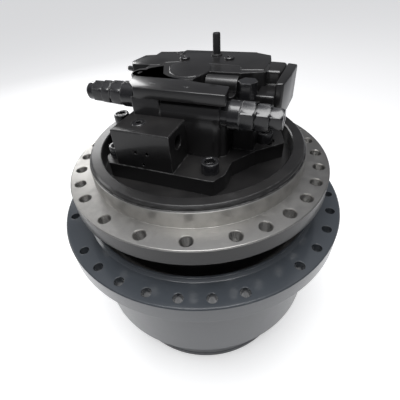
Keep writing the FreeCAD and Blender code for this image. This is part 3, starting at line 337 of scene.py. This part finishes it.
@dataclass(frozen=True)
class SteelFinish:
    """Bare or blackened steel with turned marks."""

    name: str
    colour: tuple[float, float, float, float]
    roughness: float = 0.3
    marks: float = 0.25
    pitch: float = 900.0
    stain: float = 0.35
    edge_radius: float = 0.001
    metallic: float = 1.0

    def build(self, groups: GroupKit) -> bpy.types.Material:
        """Make the material.

        Args:
            groups: the shared shader groups.

        Returns:
            The finished material.
        """
        material = bpy.data.materials.new(self.name)
        material.use_nodes = True
        tree = Tree(material.node_tree)
        shader = material.node_tree.nodes["Principled BSDF"]
        colour, roughness, normal = self.layers(tree, groups)
        tree.feed(shader.inputs["Base Color"], colour)
        tree.feed(shader.inputs["Roughness"], roughness)
        tree.feed(shader.inputs["Normal"], normal)
        shader.inputs["Metallic"].default_value = self.metallic
        return material

    def layers(self, tree: Tree, groups: GroupKit
               ) -> tuple[bpy.types.NodeSocket, bpy.types.NodeSocket, bpy.types.NodeSocket]:
        """Layer the colour, roughness and normal of the steel.

        Args:
            tree: the material's tree.
            groups: the shared shader groups.

        Returns:
            The colour, the roughness and the normal.
        """
        edges = tree.node("ShaderNodeGroup", node_tree=groups.edges)
        edges.inputs["Radius"].default_value = self.edge_radius
        edges.inputs["Wear and highlight"].default_value = 0.6
        turned = tree.node("ShaderNodeGroup", node_tree=groups.turned)
        turned.inputs["Depth"].default_value = self.marks
        turned.inputs["Pitch"].default_value = self.pitch
        tree.feed(turned.inputs["Normal"], edges.outputs["Normal"])
        stained = tuple(0.72 * c for c in self.colour[:3]) + (1.0,)
        # Brighter copy of the steel for the edges: painted edge highlight.
        bright = tuple(min(1.0, 1.25 * c) for c in self.colour[:3]) + (1.0,)
        stain = tree.math("MULTIPLY", turned.outputs["Stain"], self.stain)
        colour = tree.mix_colour(stain, self.colour, stained)
        colour = tree.mix_colour(edges.outputs["Mask"], colour, bright)
        rough = tree.math("ADD", self.roughness, tree.math("MULTIPLY", turned.outputs["Stain"], 0.14),
                          clamp=True)
        return colour, rough, turned.outputs["Normal"]


@dataclass(frozen=True)
class MaskedCasing:
    """Casing with a bare flange top and spigot and paint everywhere else."""

    name: str
    paint: PaintFinish
    steel: SteelFinish
    flange_top: float
    spigot_top: float
    bare_radius: float

    def build(self, groups: GroupKit) -> bpy.types.Material:
        """Make the material from both finishes and a mask by place.

        Args:
            groups: the shared shader groups.

        Returns:
            The finished material.
        """
        material = bpy.data.materials.new(self.name)
        material.use_nodes = True
        tree = Tree(material.node_tree)
        shader = material.node_tree.nodes["Principled BSDF"]
        mask = self.bare_mask(tree)
        paint = self.paint.layers(tree, groups)
        steel = self.steel.layers(tree, groups)
        tree.feed(shader.inputs["Base Color"], tree.mix_colour(mask, paint[0], steel[0]))
        rough = tree.node("ShaderNodeMix", {0: mask, 2: paint[1], 3: steel[1]}, data_type="FLOAT")
        tree.feed(shader.inputs["Roughness"], rough.outputs[0])
        normal = tree.node("ShaderNodeMix", None, data_type="VECTOR")
        tree.feed(normal.inputs[0], mask)
        tree.feed(normal.inputs[4], paint[2])
        tree.feed(normal.inputs[5], steel[2])
        tree.feed(shader.inputs["Normal"], normal.outputs[1])
        tree.feed(shader.inputs["Metallic"], mask)
        coat = tree.math("MULTIPLY", tree.math("SUBTRACT", 1.0, mask), self.paint.coat)
        tree.feed(shader.inputs["Coat Weight"], coat)
        shader.inputs["Coat Roughness"].default_value = COAT_ROUGHNESS
        return material

    def bare_mask(self, tree: Tree) -> bpy.types.NodeSocket:
        """Mask the bare faces.

        Args:
            tree: the material's tree.

        Returns:
            1 on the flange's top face and the spigot's side, 0 on painted faces.
        """
        point = tree.object_point()
        parts = tree.node("ShaderNodeSeparateXYZ", {0: point})
        x, y, z = parts.outputs
        radius = tree.math("SQRT", tree.math("ADD", tree.math("MULTIPLY", x, x), tree.math("MULTIPLY", y, y)))
        wobble = tree.math("MULTIPLY", tree.math("SUBTRACT", tree.noise(point, 60.0, 3.0), 0.5), 0.0012)
        above = tree.steps(tree.math("ADD", z, wobble), self.flange_top - 0.0022, self.flange_top - 0.0018)
        below = tree.steps(tree.math("ADD", z, wobble), self.spigot_top + 0.0003, self.spigot_top - 0.0003)
        outside = tree.steps(radius, self.bare_radius - 0.0004, self.bare_radius)
        return tree.math("MULTIPLY", tree.math("MULTIPLY", above, below), outside, clamp=True)


# ---------------------------------------------------------------- studio
@dataclass
class Studio:
    """Camera, floor and lights."""

    azimuth: float = 26.3
    elevation: float = 39.89
    roll: float = -5.48
    lens: float = 26.83
    target_height: float = FLANGE_TOP
    offset: tuple[float, float, float] = (0.0137, -0.0855, 0.6038)   # right, down, ahead of the lens
    shift: tuple[float, float] = (0.025, -0.0075)

    def camera(self) -> bpy.types.Object:
        """Place the camera by its angles and by where the flange's centre lies in front of it.

        Returns:
            The camera.
        """
        lift, turn, tilt = (math.radians(a) for a in (self.elevation, self.azimuth, self.roll))
        around = Matrix.Rotation(turn, 3, "Z")
        level_right = Vector((1, 0, 0))
        level_down = Vector((0, -math.sin(lift), -math.cos(lift)))
        ahead = around @ Vector((0, math.cos(lift), -math.sin(lift)))
        right = around @ (level_right * math.cos(tilt) - level_down * math.sin(tilt))
        down = around @ (level_right * math.sin(tilt) + level_down * math.cos(tilt))
        place = Vector((0, 0, self.target_height))
        place -= right * self.offset[0] + down * self.offset[1] + ahead * self.offset[2]
        data = bpy.data.cameras.new("camera")
        data.lens = self.lens
        data.sensor_width = 36.0
        data.shift_x, data.shift_y = self.shift
        data.clip_start = 0.01
        camera = bpy.data.objects.new("camera", data)
        axes = Matrix((right, -down, -ahead)).transposed()
        camera.matrix_world = Matrix.Translation(place) @ axes.to_4x4()
        bpy.context.collection.objects.link(camera)
        bpy.context.scene.camera = camera
        return camera

    def floor(self) -> None:
        """Pale floor that runs out of sight."""
        mesh = bpy.data.meshes.new("floor")
        mesh.from_pydata([(-30, -30, 0), (30, -30, 0), (30, 30, 0), (-30, 30, 0)], [], [(0, 1, 2, 3)])
        floor = bpy.data.objects.new("floor", mesh)
        bpy.context.collection.objects.link(floor)
        material = bpy.data.materials.new("floor_white")
        material.use_nodes = True
        tree = Tree(material.node_tree)
        shader = material.node_tree.nodes["Principled BSDF"]
        shader.inputs["Base Color"].default_value = rgb(0.80, 0.80, 0.80)
        shader.inputs["Roughness"].default_value = 0.9
        shader.inputs["Specular IOR Level"].default_value = 0.1
        seen = tree.node("ShaderNodeLightPath").outputs["Is Camera Ray"]
        tree.feed(shader.inputs["Emission Color"], tree.mix_colour(seen, rgb(0, 0, 0), rgb(1, 1, 1)))
        shader.inputs["Emission Strength"].default_value = 0.45
        mesh.materials.append(material)

    def lamp(self, name: str, place: tuple[float, float, float], aim: tuple[float, float, float],
             size: float, power: float) -> None:
        """Add one square soft box.

        Args:
            name: the lamp's name.
            place: where it hangs.
            aim: the point it looks at.
            size: side of the square in metres.
            power: watts.
        """
        data = bpy.data.lights.new(name, "AREA")
        data.size = size
        data.energy = power
        lamp = bpy.data.objects.new(name, data)
        lamp.location = place
        lamp.rotation_euler = (Vector(aim) - Vector(place)).to_track_quat("-Z", "Y").to_euler()
        bpy.context.collection.objects.link(lamp)

    def world(self) -> None:
        """Even pale surroundings, brighter overhead."""
        world = bpy.data.worlds.new("surroundings")
        world.use_nodes = True
        bpy.context.scene.world = world
        tree = Tree(world.node_tree)
        background = world.node_tree.nodes["Background"]
        up = tree.node("ShaderNodeSeparateXYZ",
                       {0: tree.node("ShaderNodeTexCoord").outputs["Generated"]}).outputs[2]
        sky = tree.mix_colour(tree.steps(up, 0.62, 0.98), rgb(0.10, 0.102, 0.108), rgb(0.62, 0.63, 0.67))
        seen = tree.node("ShaderNodeLightPath").outputs["Is Camera Ray"]
        tree.feed(background.inputs["Color"], tree.mix_colour(seen, sky, rgb(1, 1, 1)))
        background.inputs["Strength"].default_value = 1.0

    def build(self) -> None:
        """Set up the whole studio."""
        bpy.context.scene.view_settings.view_transform = "Standard"
        self.camera()
        self.floor()
        self.world()
        self.lamp("overhead", (0.2, -0.45, 2.4), (0, 0, 0.5), 1.5, 46.0)
        self.lamp("back_soft", (-1.6, 1.3, 1.2), (0, 0, 0.42), 0.7, 7.0)
        self.lamp("left_soft", (-2.2, -0.3, 1.3), (0, 0, 0.35), 1.0, 7.0)
        LOG.info("studio: camera, floor, world and three lamps")


# ---------------------------------------------------------------- mesh helpers
class Body(Enum):
    """CAD body that pieces ride on."""

    CASING = "casing"


class Axis(Enum):
    """Axis that a turned shape lies along, with its two cross directions."""

    X = ((1, 0, 0), (0, 1, 0), (0, 0, 1))
    LEFT = ((-1, 0, 0), (0, -1, 0), (0, 0, 1))
    Z = ((0, 0, 1), (1, 0, 0), (0, 1, 0))


Station = tuple[float, float, Optional[float]]


class Shape:
    """One mesh made of closed shells, with sizes in millimetres."""

    def __init__(self) -> None:
        """Start empty."""
        self.mesh = bmesh.new()

    def turned(self, stations: Sequence[Station], start: tuple[float, float, float], axis: Axis,
               around: int = 48) -> "Shape":
        """Add a turned or hexagonal bar.

        Args:
            stations: (distance along, round radius, width across flats or None) of each ring.
            start: where the distance is zero.
            axis: which way the bar runs.
            around: points in each ring.

        Returns:
            This shape.
        """
        along, first, second = (Vector(v) for v in axis.value)
        rings = []
        for distance, round_radius, flats in stations:
            ring = []
            for step in range(around):
                angle = 2 * math.pi * step / around
                radius = round_radius
                if flats is not None:
                    turn = (angle + math.pi / 6) % (math.pi / 3) - math.pi / 6
                    radius = min(round_radius, flats / 2 / math.cos(turn))
                point = Vector(start) + along * distance
                point += (first * math.cos(angle) + second * math.sin(angle)) * radius
                ring.append(self.mesh.verts.new(point * MM))
            rings.append(ring)
        faces = [self.mesh.faces.new(rings[0][::-1]), self.mesh.faces.new(rings[-1])]
        for low, high in zip(rings, rings[1:]):
            for step in range(around):
                after = (step + 1) % around
                faces.append(self.mesh.faces.new((low[step], low[after], high[after], high[step])))
        bmesh.ops.recalc_face_normals(self.mesh, faces=faces)
        return self

    def prism(self, outline: Sequence[tuple[float, float]], low: float, high: float, edge: float = 2.0,
              segments: int = 3) -> "Shape":
        """Add an upright prism with rounded edges.

        Args:
            outline: corners in order.
            low: height of its base.
            high: height of its top.
            edge: radius of its edges.
            segments: steps in each rounded edge.

        Returns:
            This shape.
        """
        base = [self.mesh.verts.new((x * MM, y * MM, low * MM)) for x, y in outline]
        top = [self.mesh.verts.new((x * MM, y * MM, high * MM)) for x, y in outline]
        faces = [self.mesh.faces.new(base[::-1]), self.mesh.faces.new(top)]
        for step in range(len(outline)):
            after = (step + 1) % len(outline)
            faces.append(self.mesh.faces.new((base[step], base[after], top[after], top[step])))
        bmesh.ops.recalc_face_normals(self.mesh, faces=faces)
        edges = list(dict.fromkeys(item for face in faces for item in face.edges))
        bmesh.ops.bevel(self.mesh, geom=edges, offset=edge * MM, segments=segments, profile=0.5,
                        affect="EDGES", clamp_overlap=True)
        return self

    def finish(self, name: str, material: bpy.types.Material, body: Body, slot: str,
               stands_for: Sequence[str] = ()) -> bpy.types.Object:
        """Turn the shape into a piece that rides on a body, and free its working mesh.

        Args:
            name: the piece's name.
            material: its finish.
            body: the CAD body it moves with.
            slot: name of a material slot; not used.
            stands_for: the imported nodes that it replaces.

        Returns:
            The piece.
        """
        mesh = bpy.data.meshes.new(name)
        self.mesh.to_mesh(mesh)
        self.mesh.free()
        return settle(name, mesh, material, body, stands_for)


def settle(name: str, mesh: bpy.types.Mesh, material: bpy.types.Material, body: Body,
           stands_for: Sequence[str] = ()) -> bpy.types.Object:
    """Link a finished mesh as a piece, shade it and let it ride.

    Args:
        name: the piece's name.
        mesh: its mesh, in place.
        material: its finish.
        body: the CAD body it moves with.
        stands_for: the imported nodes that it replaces.

    Returns:
        The piece.
    """
    mesh.materials.clear()
    mesh.materials.append(material)
    mesh.polygons.foreach_set("use_smooth", [True] * len(mesh.polygons))
    mesh.set_sharp_from_angle(angle=SMOOTH_ANGLE)
    piece = bpy.data.objects.new(name, mesh)
    bpy.context.collection.objects.link(piece)
    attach(piece, body.value)
    if stands_for:
        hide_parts(*stands_for)
    LOG.info("piece %s: %d faces", name, len(mesh.polygons))
    return piece


class Scatter:
    """Geometry Nodes that put a stack of one shape at each given place."""

    def __init__(self, name: str, places: Sequence[tuple[float, float, float]]) -> None:
        """Make the carrier of the places.

        Args:
            name: name of the tree and its carrier.
            places: the places in millimetres.
        """
        self.name = name
        mesh = bpy.data.meshes.new(name + "_places")
        mesh.from_pydata([tuple(v * MM for v in place) for place in places], [], [])
        self.carrier = bpy.data.objects.new(name + "_places", mesh)
        bpy.context.collection.objects.link(self.carrier)

    def rings(self, radius: float, ridge: float, pitch: float, count: int, material: bpy.types.Material
              ) -> bpy.types.Mesh:
        """Stack thread ridges down from each place.

        Args:
            radius: ring radius in millimetres.
            ridge: half height of a ridge.
            pitch: distance between ridges.
            count: ridges in each stack.
            material: finish set in the tree.

        Returns:
            The realized mesh.
        """
        group = bpy.data.node_groups.new(self.name, "GeometryNodeTree")
        group.interface.new_socket("Places", in_out="INPUT", socket_type="NodeSocketGeometry")
        for title in ("Radius", "Ridge", "Pitch"):
            group.interface.new_socket(title, in_out="INPUT", socket_type="NodeSocketFloat")
        group.interface.new_socket("Count", in_out="INPUT", socket_type="NodeSocketInt")
        group.interface.new_socket("Geometry", in_out="OUTPUT", socket_type="NodeSocketGeometry")
        tree = Tree(group)
        given, out = tree.node("NodeGroupInput"), tree.node("NodeGroupOutput")
        circle = tree.node("GeometryNodeCurvePrimitiveCircle", {"Resolution": 24,
                                                                "Radius": given.outputs["Radius"]})
        profile = tree.node("GeometryNodeCurvePrimitiveCircle", {"Resolution": 3,
                                                                 "Radius": given.outputs["Ridge"]})
        ring = tree.node("GeometryNodeCurveToMesh", {"Curve": circle.outputs[0],
                                                     "Profile Curve": profile.outputs[0]})
        down = tree.math("MULTIPLY", given.outputs["Pitch"], -1.0)
        offset = tree.node("ShaderNodeCombineXYZ", {"Z": down})
        line = tree.node("GeometryNodeMeshLine", {"Count": given.outputs["Count"],
                                                  "Offset": offset.outputs[0]})
        stack = tree.node("GeometryNodeInstanceOnPoints", {"Points": line.outputs[0],
                                                           "Instance": ring.outputs[0]})
        stacks = tree.node("GeometryNodeInstanceOnPoints", {"Points": given.outputs["Places"],
                                                             "Instance": stack.outputs[0]})
        real = tree.node("GeometryNodeRealizeInstances", {"Geometry": stacks.outputs[0]})
        coat = tree.node("GeometryNodeSetMaterial", {"Geometry": real.outputs[0], "Material": material})
        tree.feed(out.inputs[0], coat.outputs[0])
        return self.result(group, {"Radius": radius * MM, "Ridge": ridge * MM, "Pitch": pitch * MM,
                                   "Count": count})

    def copies(self, shape: bpy.types.Object, material: bpy.types.Material) -> bpy.types.Mesh:
        """Put one copy of a shape at each place.

        Args:
            shape: the object that is copied.
            material: finish set in the tree.

        Returns:
            The realized mesh.
        """
        group = bpy.data.node_groups.new(self.name, "GeometryNodeTree")
        group.interface.new_socket("Places", in_out="INPUT", socket_type="NodeSocketGeometry")
        group.interface.new_socket("Shape", in_out="INPUT", socket_type="NodeSocketObject")
        group.interface.new_socket("Geometry", in_out="OUTPUT", socket_type="NodeSocketGeometry")
        tree = Tree(group)
        given, out = tree.node("NodeGroupInput"), tree.node("NodeGroupOutput")
        info = tree.node("GeometryNodeObjectInfo", {"Object": given.outputs["Shape"]})
        put = tree.node("GeometryNodeInstanceOnPoints", {"Points": given.outputs["Places"],
                                                          "Instance": info.outputs["Geometry"]})
        real = tree.node("GeometryNodeRealizeInstances", {"Geometry": put.outputs[0]})
        coat = tree.node("GeometryNodeSetMaterial", {"Geometry": real.outputs[0], "Material": material})
        tree.feed(out.inputs[0], coat.outputs[0])
        return self.result(group, {"Shape": shape})

    def result(self, group: bpy.types.NodeTree, values: dict) -> bpy.types.Mesh:
        """Set the inputs by identifier, evaluate and drop the carrier.

        Args:
            group: the tree that the modifier runs.
            values: what each named input gets.

        Returns:
            The realized mesh.
        """
        modifier = self.carrier.modifiers.new(self.name, "NODES")
        modifier.node_group = group
        for item in group.interface.items_tree:
            if item.item_type == "SOCKET" and item.in_out == "INPUT" and item.name in values:
                modifier[item.identifier] = values[item.name]
        graph = bpy.context.evaluated_depsgraph_get()
        mesh = bpy.data.meshes.new_from_object(self.carrier.evaluated_get(graph))
        self.carrier.modifiers.remove(modifier)
        bpy.data.objects.remove(self.carrier)
        return mesh


# ---------------------------------------------------------------- sub-assemblies
@dataclass
class FlangeThreads:
    """Threads in the tapped holes of the frame flange."""

    circle: float = 231.0
    hole: float = 11.0
    pitch: float = 2.5
    top: float = 432.5
    count: int = 12
    wide_step: float = 18.0
    close_step: float = 12.0
    close_steps: int = 9
    ridge: float = 0.9
    into_wall: float = 0.15
    first_ridge: float = 2.2

    def angles(self) -> list[float]:
        """List the holes' angles, with wider gaps at the front and the back.

        Returns:
            The angles in degrees.
        """
        right = [-90.0]
        for step in [self.wide_step] * 2 + [self.close_step] * self.close_steps + [self.wide_step] * 2:
            right.append(right[-1] + step)
        return right + [180.0 - angle for angle in right[1:-1]]

    def build(self, material: bpy.types.Material) -> None:
        """Make the ridges of every hole.

        Args:
            material: the threads' finish.
        """
        places = []
        for angle in map(math.radians, self.angles()):
            places.append((self.circle * math.cos(angle), self.circle * math.sin(angle),
                           self.top - self.first_ridge))
        mesh = Scatter("flange_threads", places).rings(
            self.hole - self.into_wall, self.ridge, self.pitch, self.count, material)
        settle("flange_threads", mesh, material, Body.CASING)


@dataclass
class ReliefValves:
    """Cartridge valves that stand out of both ends of the valve block."""

    side: float = -34.0
    right_height: float = 543.0
    left_height: float = 562.0

    def build(self, material: bpy.types.Material) -> None:
        """Make the right and the left valve.

        Args:
            material: their finish.
        """
        self.right_valve(material)
        self.left_valve(material)

    def right_valve(self, material: bpy.types.Material) -> None:
        """Make the right valve's body, locknut and plug."""
        right = (0.0, self.side, self.right_height)
        shape = Shape()
        shape.turned([(62, 21, None), (79, 21, None), (79, 23, None), (80, 24, None), (98, 24, None),
                      (99, 23, None)],
                     right, Axis.X)
        shape.turned([(98, 22.2, 44), (100.5, 25.2, 44), (119, 25.2, 44), (121, 22.4, 44)], right, Axis.X, 72)
        shape.turned([(120, 17.5, None), (124, 17.5, None)], right, Axis.X)
        shape.finish("relief_body_right", material, Body.CASING, "dark_steel", ["relief_valve_right"])
        shape = Shape()
        shape.turned([(123, 20.6, 41), (125.2, 23.4, 41), (141.5, 23.4, 41), (144, 20.8, 41)], right, Axis.X,
                     72)
        shape.finish("relief_locknut_right", material, Body.CASING, "dark_steel", ["relief_nut_right"])
        shape = Shape()
        shape.turned([(143, 16.6, 33), (145, 18.9, 33), (160, 18.9, 33), (164, 15.5, 33), (164, 8, None),
                      (161, 8, None)], right, Axis.X, 72)
        shape.finish("relief_plug_right", material, Body.CASING, "dark_steel", ["relief_cap_right"])

    def left_valve(self, material: bpy.types.Material) -> None:
        """Make the left valve's body and plug."""
        left = (0.0, self.side, self.left_height)
        shape = Shape()
        shape.turned([(88, 22, None), (113.5, 22, None), (115, 20.5, None)], left, Axis.LEFT)
        shape.turned([(114, 20.4, 40), (116.5, 22.8, 40), (134, 22.8, 40), (136, 20.4, 40)], left, Axis.LEFT,
                     72)
        shape.turned([(135, 18, None), (141, 18, None)], left, Axis.LEFT)
        shape.turned([(140, 19.6, 38), (142, 21.8, 38), (154, 21.8, 38), (156, 19.6, 38)], left, Axis.LEFT,
                     72)
        shape.finish("relief_body_left", material, Body.CASING, "dark_steel", ["relief_valve_left"])
        shape = Shape()
        shape.turned([(155, 18, 35), (157, 20, 35), (175.5, 20, 35), (177.5, 17.6, 35)], left, Axis.LEFT, 72)
        shape.turned([(177, 15.5, None), (190, 15.5, None), (195, 11, None)], left, Axis.LEFT)
        shape.finish("relief_plug_left", material, Body.CASING, "dark_steel", ["relief_cap_left"])


@dataclass
class ControlBlock:
    """Valve block with its barrel, the deck behind it and their plugs."""

    top: float = 585.5
    flange: float = 469.5
    barrel_height: float = 543.0
    barrel_radius: float = 24.0

    def build(self, paint: bpy.types.Material, fitting: bpy.types.Material,
              plastic: bpy.types.Material) -> None:
        """Make the block, the deck, the plugs, the cap and the servo.

        Args:
            paint: finish of the castings.
            fitting: finish of the plugs.
            plastic: finish of the cap.
        """
        self.valve_block(paint)
        self.control_deck(paint)
        self.deck_plugs(fitting)
        self.port_cap(plastic)
        self.servo(paint)

    def valve_block(self, paint: bpy.types.Material) -> None:
        """Make the block with its head, its wall and its barrel."""
        shape = Shape()
        shape.prism([(-83, -58), (79, -60), (74, -23), (24, -15), (-10, -8), (-45, 4), (-60, 16), (-76, 49),
                     (-80, 60),
                     (-104, 40), (-111, -11), (-104, -35)], 566, self.top - 1.0, 1.6)
        shape.prism([(-90, -58), (-38, -58), (-38, -12), (-100, -12), (-104, -36)], self.flange, 568, 2.5)
        shape.prism([(-40, -57.6), (56, -57.6), (64, -54), (67.5, -46), (67.5, -12), (-40, -12)],
                    self.flange, 545, 2.0)
        shape.turned([(-38, 22.5, None), (-36.5, self.barrel_radius, None), (66, self.barrel_radius, None),
                      (68, 22, None)], (0, -34, self.barrel_height), Axis.X, 64)
        for x, y in ((-57, -34), (8, -38)):
            shape.turned([(0, 4.2, None), (0.7, 3.6, None)], (x, y, self.top - 1.2), Axis.Z, 24)
        shape.finish("valve_block", paint, Body.CASING, "black_paint", ["valve_body"])

    def control_deck(self, paint: bpy.types.Material) -> None:
        """Make the deck and its lobe."""
        shape = Shape()
        shape.prism([(-155, 61), (-161, 72), (-154, 115), (-132, 122), (-132, 145), (-82, 151), (-79, 164),
                     (-1, 164),
                     (74, 164), (78, 160), (105, 147), (111, 119), (110, 61), (70, 55), (64, 76), (3, 81),
                     (16, 58),
                     (19, 44), (14, 23), (4, 10), (-7, 3), (-24, 2), (-40, 9), (-52, 20), (-66, 48),
                     (-68, 62),
                     (-58, 84), (-88, 76), (-92, 59), (-126, 56), (-150, 53)], 560, self.top, 1.8)
        shape.finish("control_deck", paint, Body.CASING, "black_paint", ["top_cover"])

    def deck_plugs(self, fitting: bpy.types.Material) -> None:
        """Make the plugs of the deck."""
        shape = Shape()
        for x, y in ((-56, 101), (32, 113)):
            shape.turned([(-2, 10, None), (3, 10, None), (4, 9, None), (4, 4.6, 8), (1, 4.6, 8)],
                         (x, y, self.top), Axis.Z)
        shape.turned([(-2, 9, None), (0.6, 9, None), (0.6, 6, None), (0.2, 6, None)], (-82, 141, self.top),
                     Axis.Z)
        shape.turned([(-40, 17, None), (1.5, 17, None), (3, 15.6, None), (3, 6, 10), (-3, 6, 10)],
                     (-108, 12, self.top - 4), Axis.Z)
        shape.finish("deck_plugs", fitting, Body.CASING, "dark_steel", ["top_plugs"])

    def port_cap(self, plastic: bpy.types.Material) -> None:
        """Make the cap that closes the port for shipping."""
        shape = Shape()
        shape.turned([(-4, 11, None), (1.6, 11, None), (2.2, 10.4, None), (2.2, 7.6, None), (38, 7.4, None),
                      (40, 6.6, None)], (-1, 135.5, self.top), Axis.Z)
        shape.finish("port_cap", plastic, Body.CASING, "black_plastic", ["shipping_cap"])

    def servo(self, paint: bpy.types.Material) -> None:
        """Make the servo's housing and its cover."""
        shape = Shape()
        shape.prism([(104, 65), (139, 65), (141, 118), (104, 122)], 525, 583, 6.0, 5)
        shape.prism([(108, 10), (140, 10), (140, 70), (108, 66)], 530, 560, 3.0)
        shape.finish("servo_housing", paint, Body.CASING, "black_paint", ["servo_block"])
        shape = Shape()
        shape.prism([(139, 8), (152, 10), (157, 60), (159, 112), (141, 118)], 520, 582, 3.0)
        shape.finish("servo_cover", paint, Body.CASING, "black_paint", ["servo_end_plate"])


@dataclass
class CoverScrews:
    """Socket head screws that hold the rear cover."""

    head_radius: float = 15.0
    head_height: float = 20.0
    socket: float = 17.0
    places: tuple[tuple[float, float, float], ...] = (
        (64.4, -94.8, 469.5), (127.0, 26.0, 469.5), (-116.0, -93.0, 469.5), (-152.0, -14.0, 491.5))

    def build(self, material: bpy.types.Material) -> None:
        """Make one head and put a copy at each place."""
        r, h = self.head_radius, self.head_height
        shape = Shape().turned([(-22, 10, None), (0, 10, None), (0, r, None), (h - 1.6, r, None),
                                (h - 0.4, r - 0.5, None),
                                (h, r - 1.4, None), (h, 10.4, None), (h - 0.8, 9.8, self.socket),
                                (h - 10, 9.8, self.socket)],
                               (0, 0, 0), Axis.Z, 72)
        mesh = bpy.data.meshes.new("screw_head")
        shape.mesh.to_mesh(mesh)
        shape.mesh.free()
        head = bpy.data.objects.new("screw_head", mesh)
        bpy.context.collection.objects.link(head)
        made = Scatter("cover_screws", self.places).copies(head, material)
        bpy.data.objects.remove(head)
        settle("cover_screws", made, material, Body.CASING, ["rear_cover_screws"])


# ---------------------------------------------------------------- finishes by node
def coated(node: str, *materials: bpy.types.Material) -> None:
    """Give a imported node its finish."""
    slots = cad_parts[node].data.materials
    slots.clear()
    for material in materials:
        slots.append(material)


def finishes() -> dict[str, bpy.types.Material]:
    """Build every material.

    Returns:
        The materials by their short names.
    """
    groups = GroupKit()
    cast = PaintFinish("casing_paint", rgb(0.009, 0.0086, 0.009), roughness=0.34, coat=0.45, dust=0.05,
                       grain=0.4,
                       wear_and_highlight=0.5)
    steel = SteelFinish("bare_steel", rgb(0.50, 0.49, 0.47), roughness=0.34, stain=0.9)
    made = [
        MaskedCasing("casing", cast, steel, FLANGE_TOP, SPIGOT_TOP, BARE_RADIUS), cast,
        PaintFinish("hub_paint", rgb(0.050, 0.057, 0.066), roughness=0.20, coat=0.9, grain=0.06, dust=0.0),
        PaintFinish("valve_paint", rgb(0.010, 0.0096, 0.010), roughness=0.3, coat=0.55, grain=0.1, wear_and_highlight=0.7,
                    dust=0.03),
        PaintFinish("fitting_paint", rgb(0.012, 0.012, 0.0135), roughness=0.24, coat=0.7, grain=0.05,
                    dust=0.02,
                    wear_and_highlight=0.7),
        PaintFinish("cap_plastic", rgb(0.010, 0.010, 0.011), roughness=0.5, coat=0.0, grain=0.1, wear_and_highlight=0.0,
                    dust=0.1),
        PaintFinish("seal_rubber", rgb(0.018, 0.018, 0.018), roughness=0.7, coat=0.0, wear_and_highlight=0.0),
        SteelFinish("gear_steel", rgb(0.48, 0.47, 0.45), roughness=0.26, stain=0.2),
        SteelFinish("bearing_steel", rgb(0.66, 0.66, 0.65), roughness=0.14, marks=0.08, stain=0.1),
        SteelFinish("bronze", rgb(0.56, 0.36, 0.17), roughness=0.3, stain=0.5),
        SteelFinish("spring_steel", rgb(0.20, 0.19, 0.18), roughness=0.35, stain=0.3),
        PaintFinish("friction_lining", rgb(0.085, 0.06, 0.04), roughness=0.85, coat=0.0, grain=0.8, wear_and_highlight=0.0),
        SteelFinish("thread_steel", rgb(0.40, 0.39, 0.375), roughness=0.42, marks=0.1, stain=0.8),
    ]
    return {finish.name: finish.build(groups) for finish in made}


NODE_FINISH = {
    "hub_paint": ("hub_housing", "end_cover"),
    "casing": ("main_casing",),
    "casing_paint": ("rear_cover",),
    "valve_paint": ("top_cover", "valve_body", "servo_block", "servo_end_plate"),
    "cap_plastic": ("shipping_cap",),
    "seal_rubber": ("load_ring_lower", "load_ring_upper"),
    "fitting_paint": ("relief_valve_left", "relief_cap_left", "relief_valve_right", "relief_nut_right",
                      "relief_cap_right", "port_plug", "hex_plug", "top_plugs", "side_fitting",
                      "rear_cover_screws",
                      "end_cover_screws", "end_cover_plugs"),
    "bearing_steel": ("main_bearing_inner_rings", "main_bearing_outer_rings", "main_bearing_rollers",
                      "planet_bearings_1", "planet_bearings_2", "shaft_bearings", "floating_seal_lower",
                      "floating_seal_upper"),
    "bronze": ("slipper_shoes", "valve_plate"),
    "spring_steel": ("brake_spring", "spool_springs"),
    "friction_lining": ("friction_discs",),
}


def main() -> None:
    """Build the studio, the finishes and the pieces."""
    logging.basicConfig(level=logging.INFO, format="%(message)s")
    Studio().build()
    made = finishes()
    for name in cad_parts:
        coated(name, made["gear_steel"])
    for finish, names in NODE_FINISH.items():
        for name in names:
            coated(name, made[finish])
    FlangeThreads().build(made["thread_steel"])
    ReliefValves().build(made["fitting_paint"])
    ControlBlock().build(made["valve_paint"], made["fitting_paint"], made["cap_plastic"])
    CoverScrews().build(made["fitting_paint"])


if __name__ == "__main__":
    main()
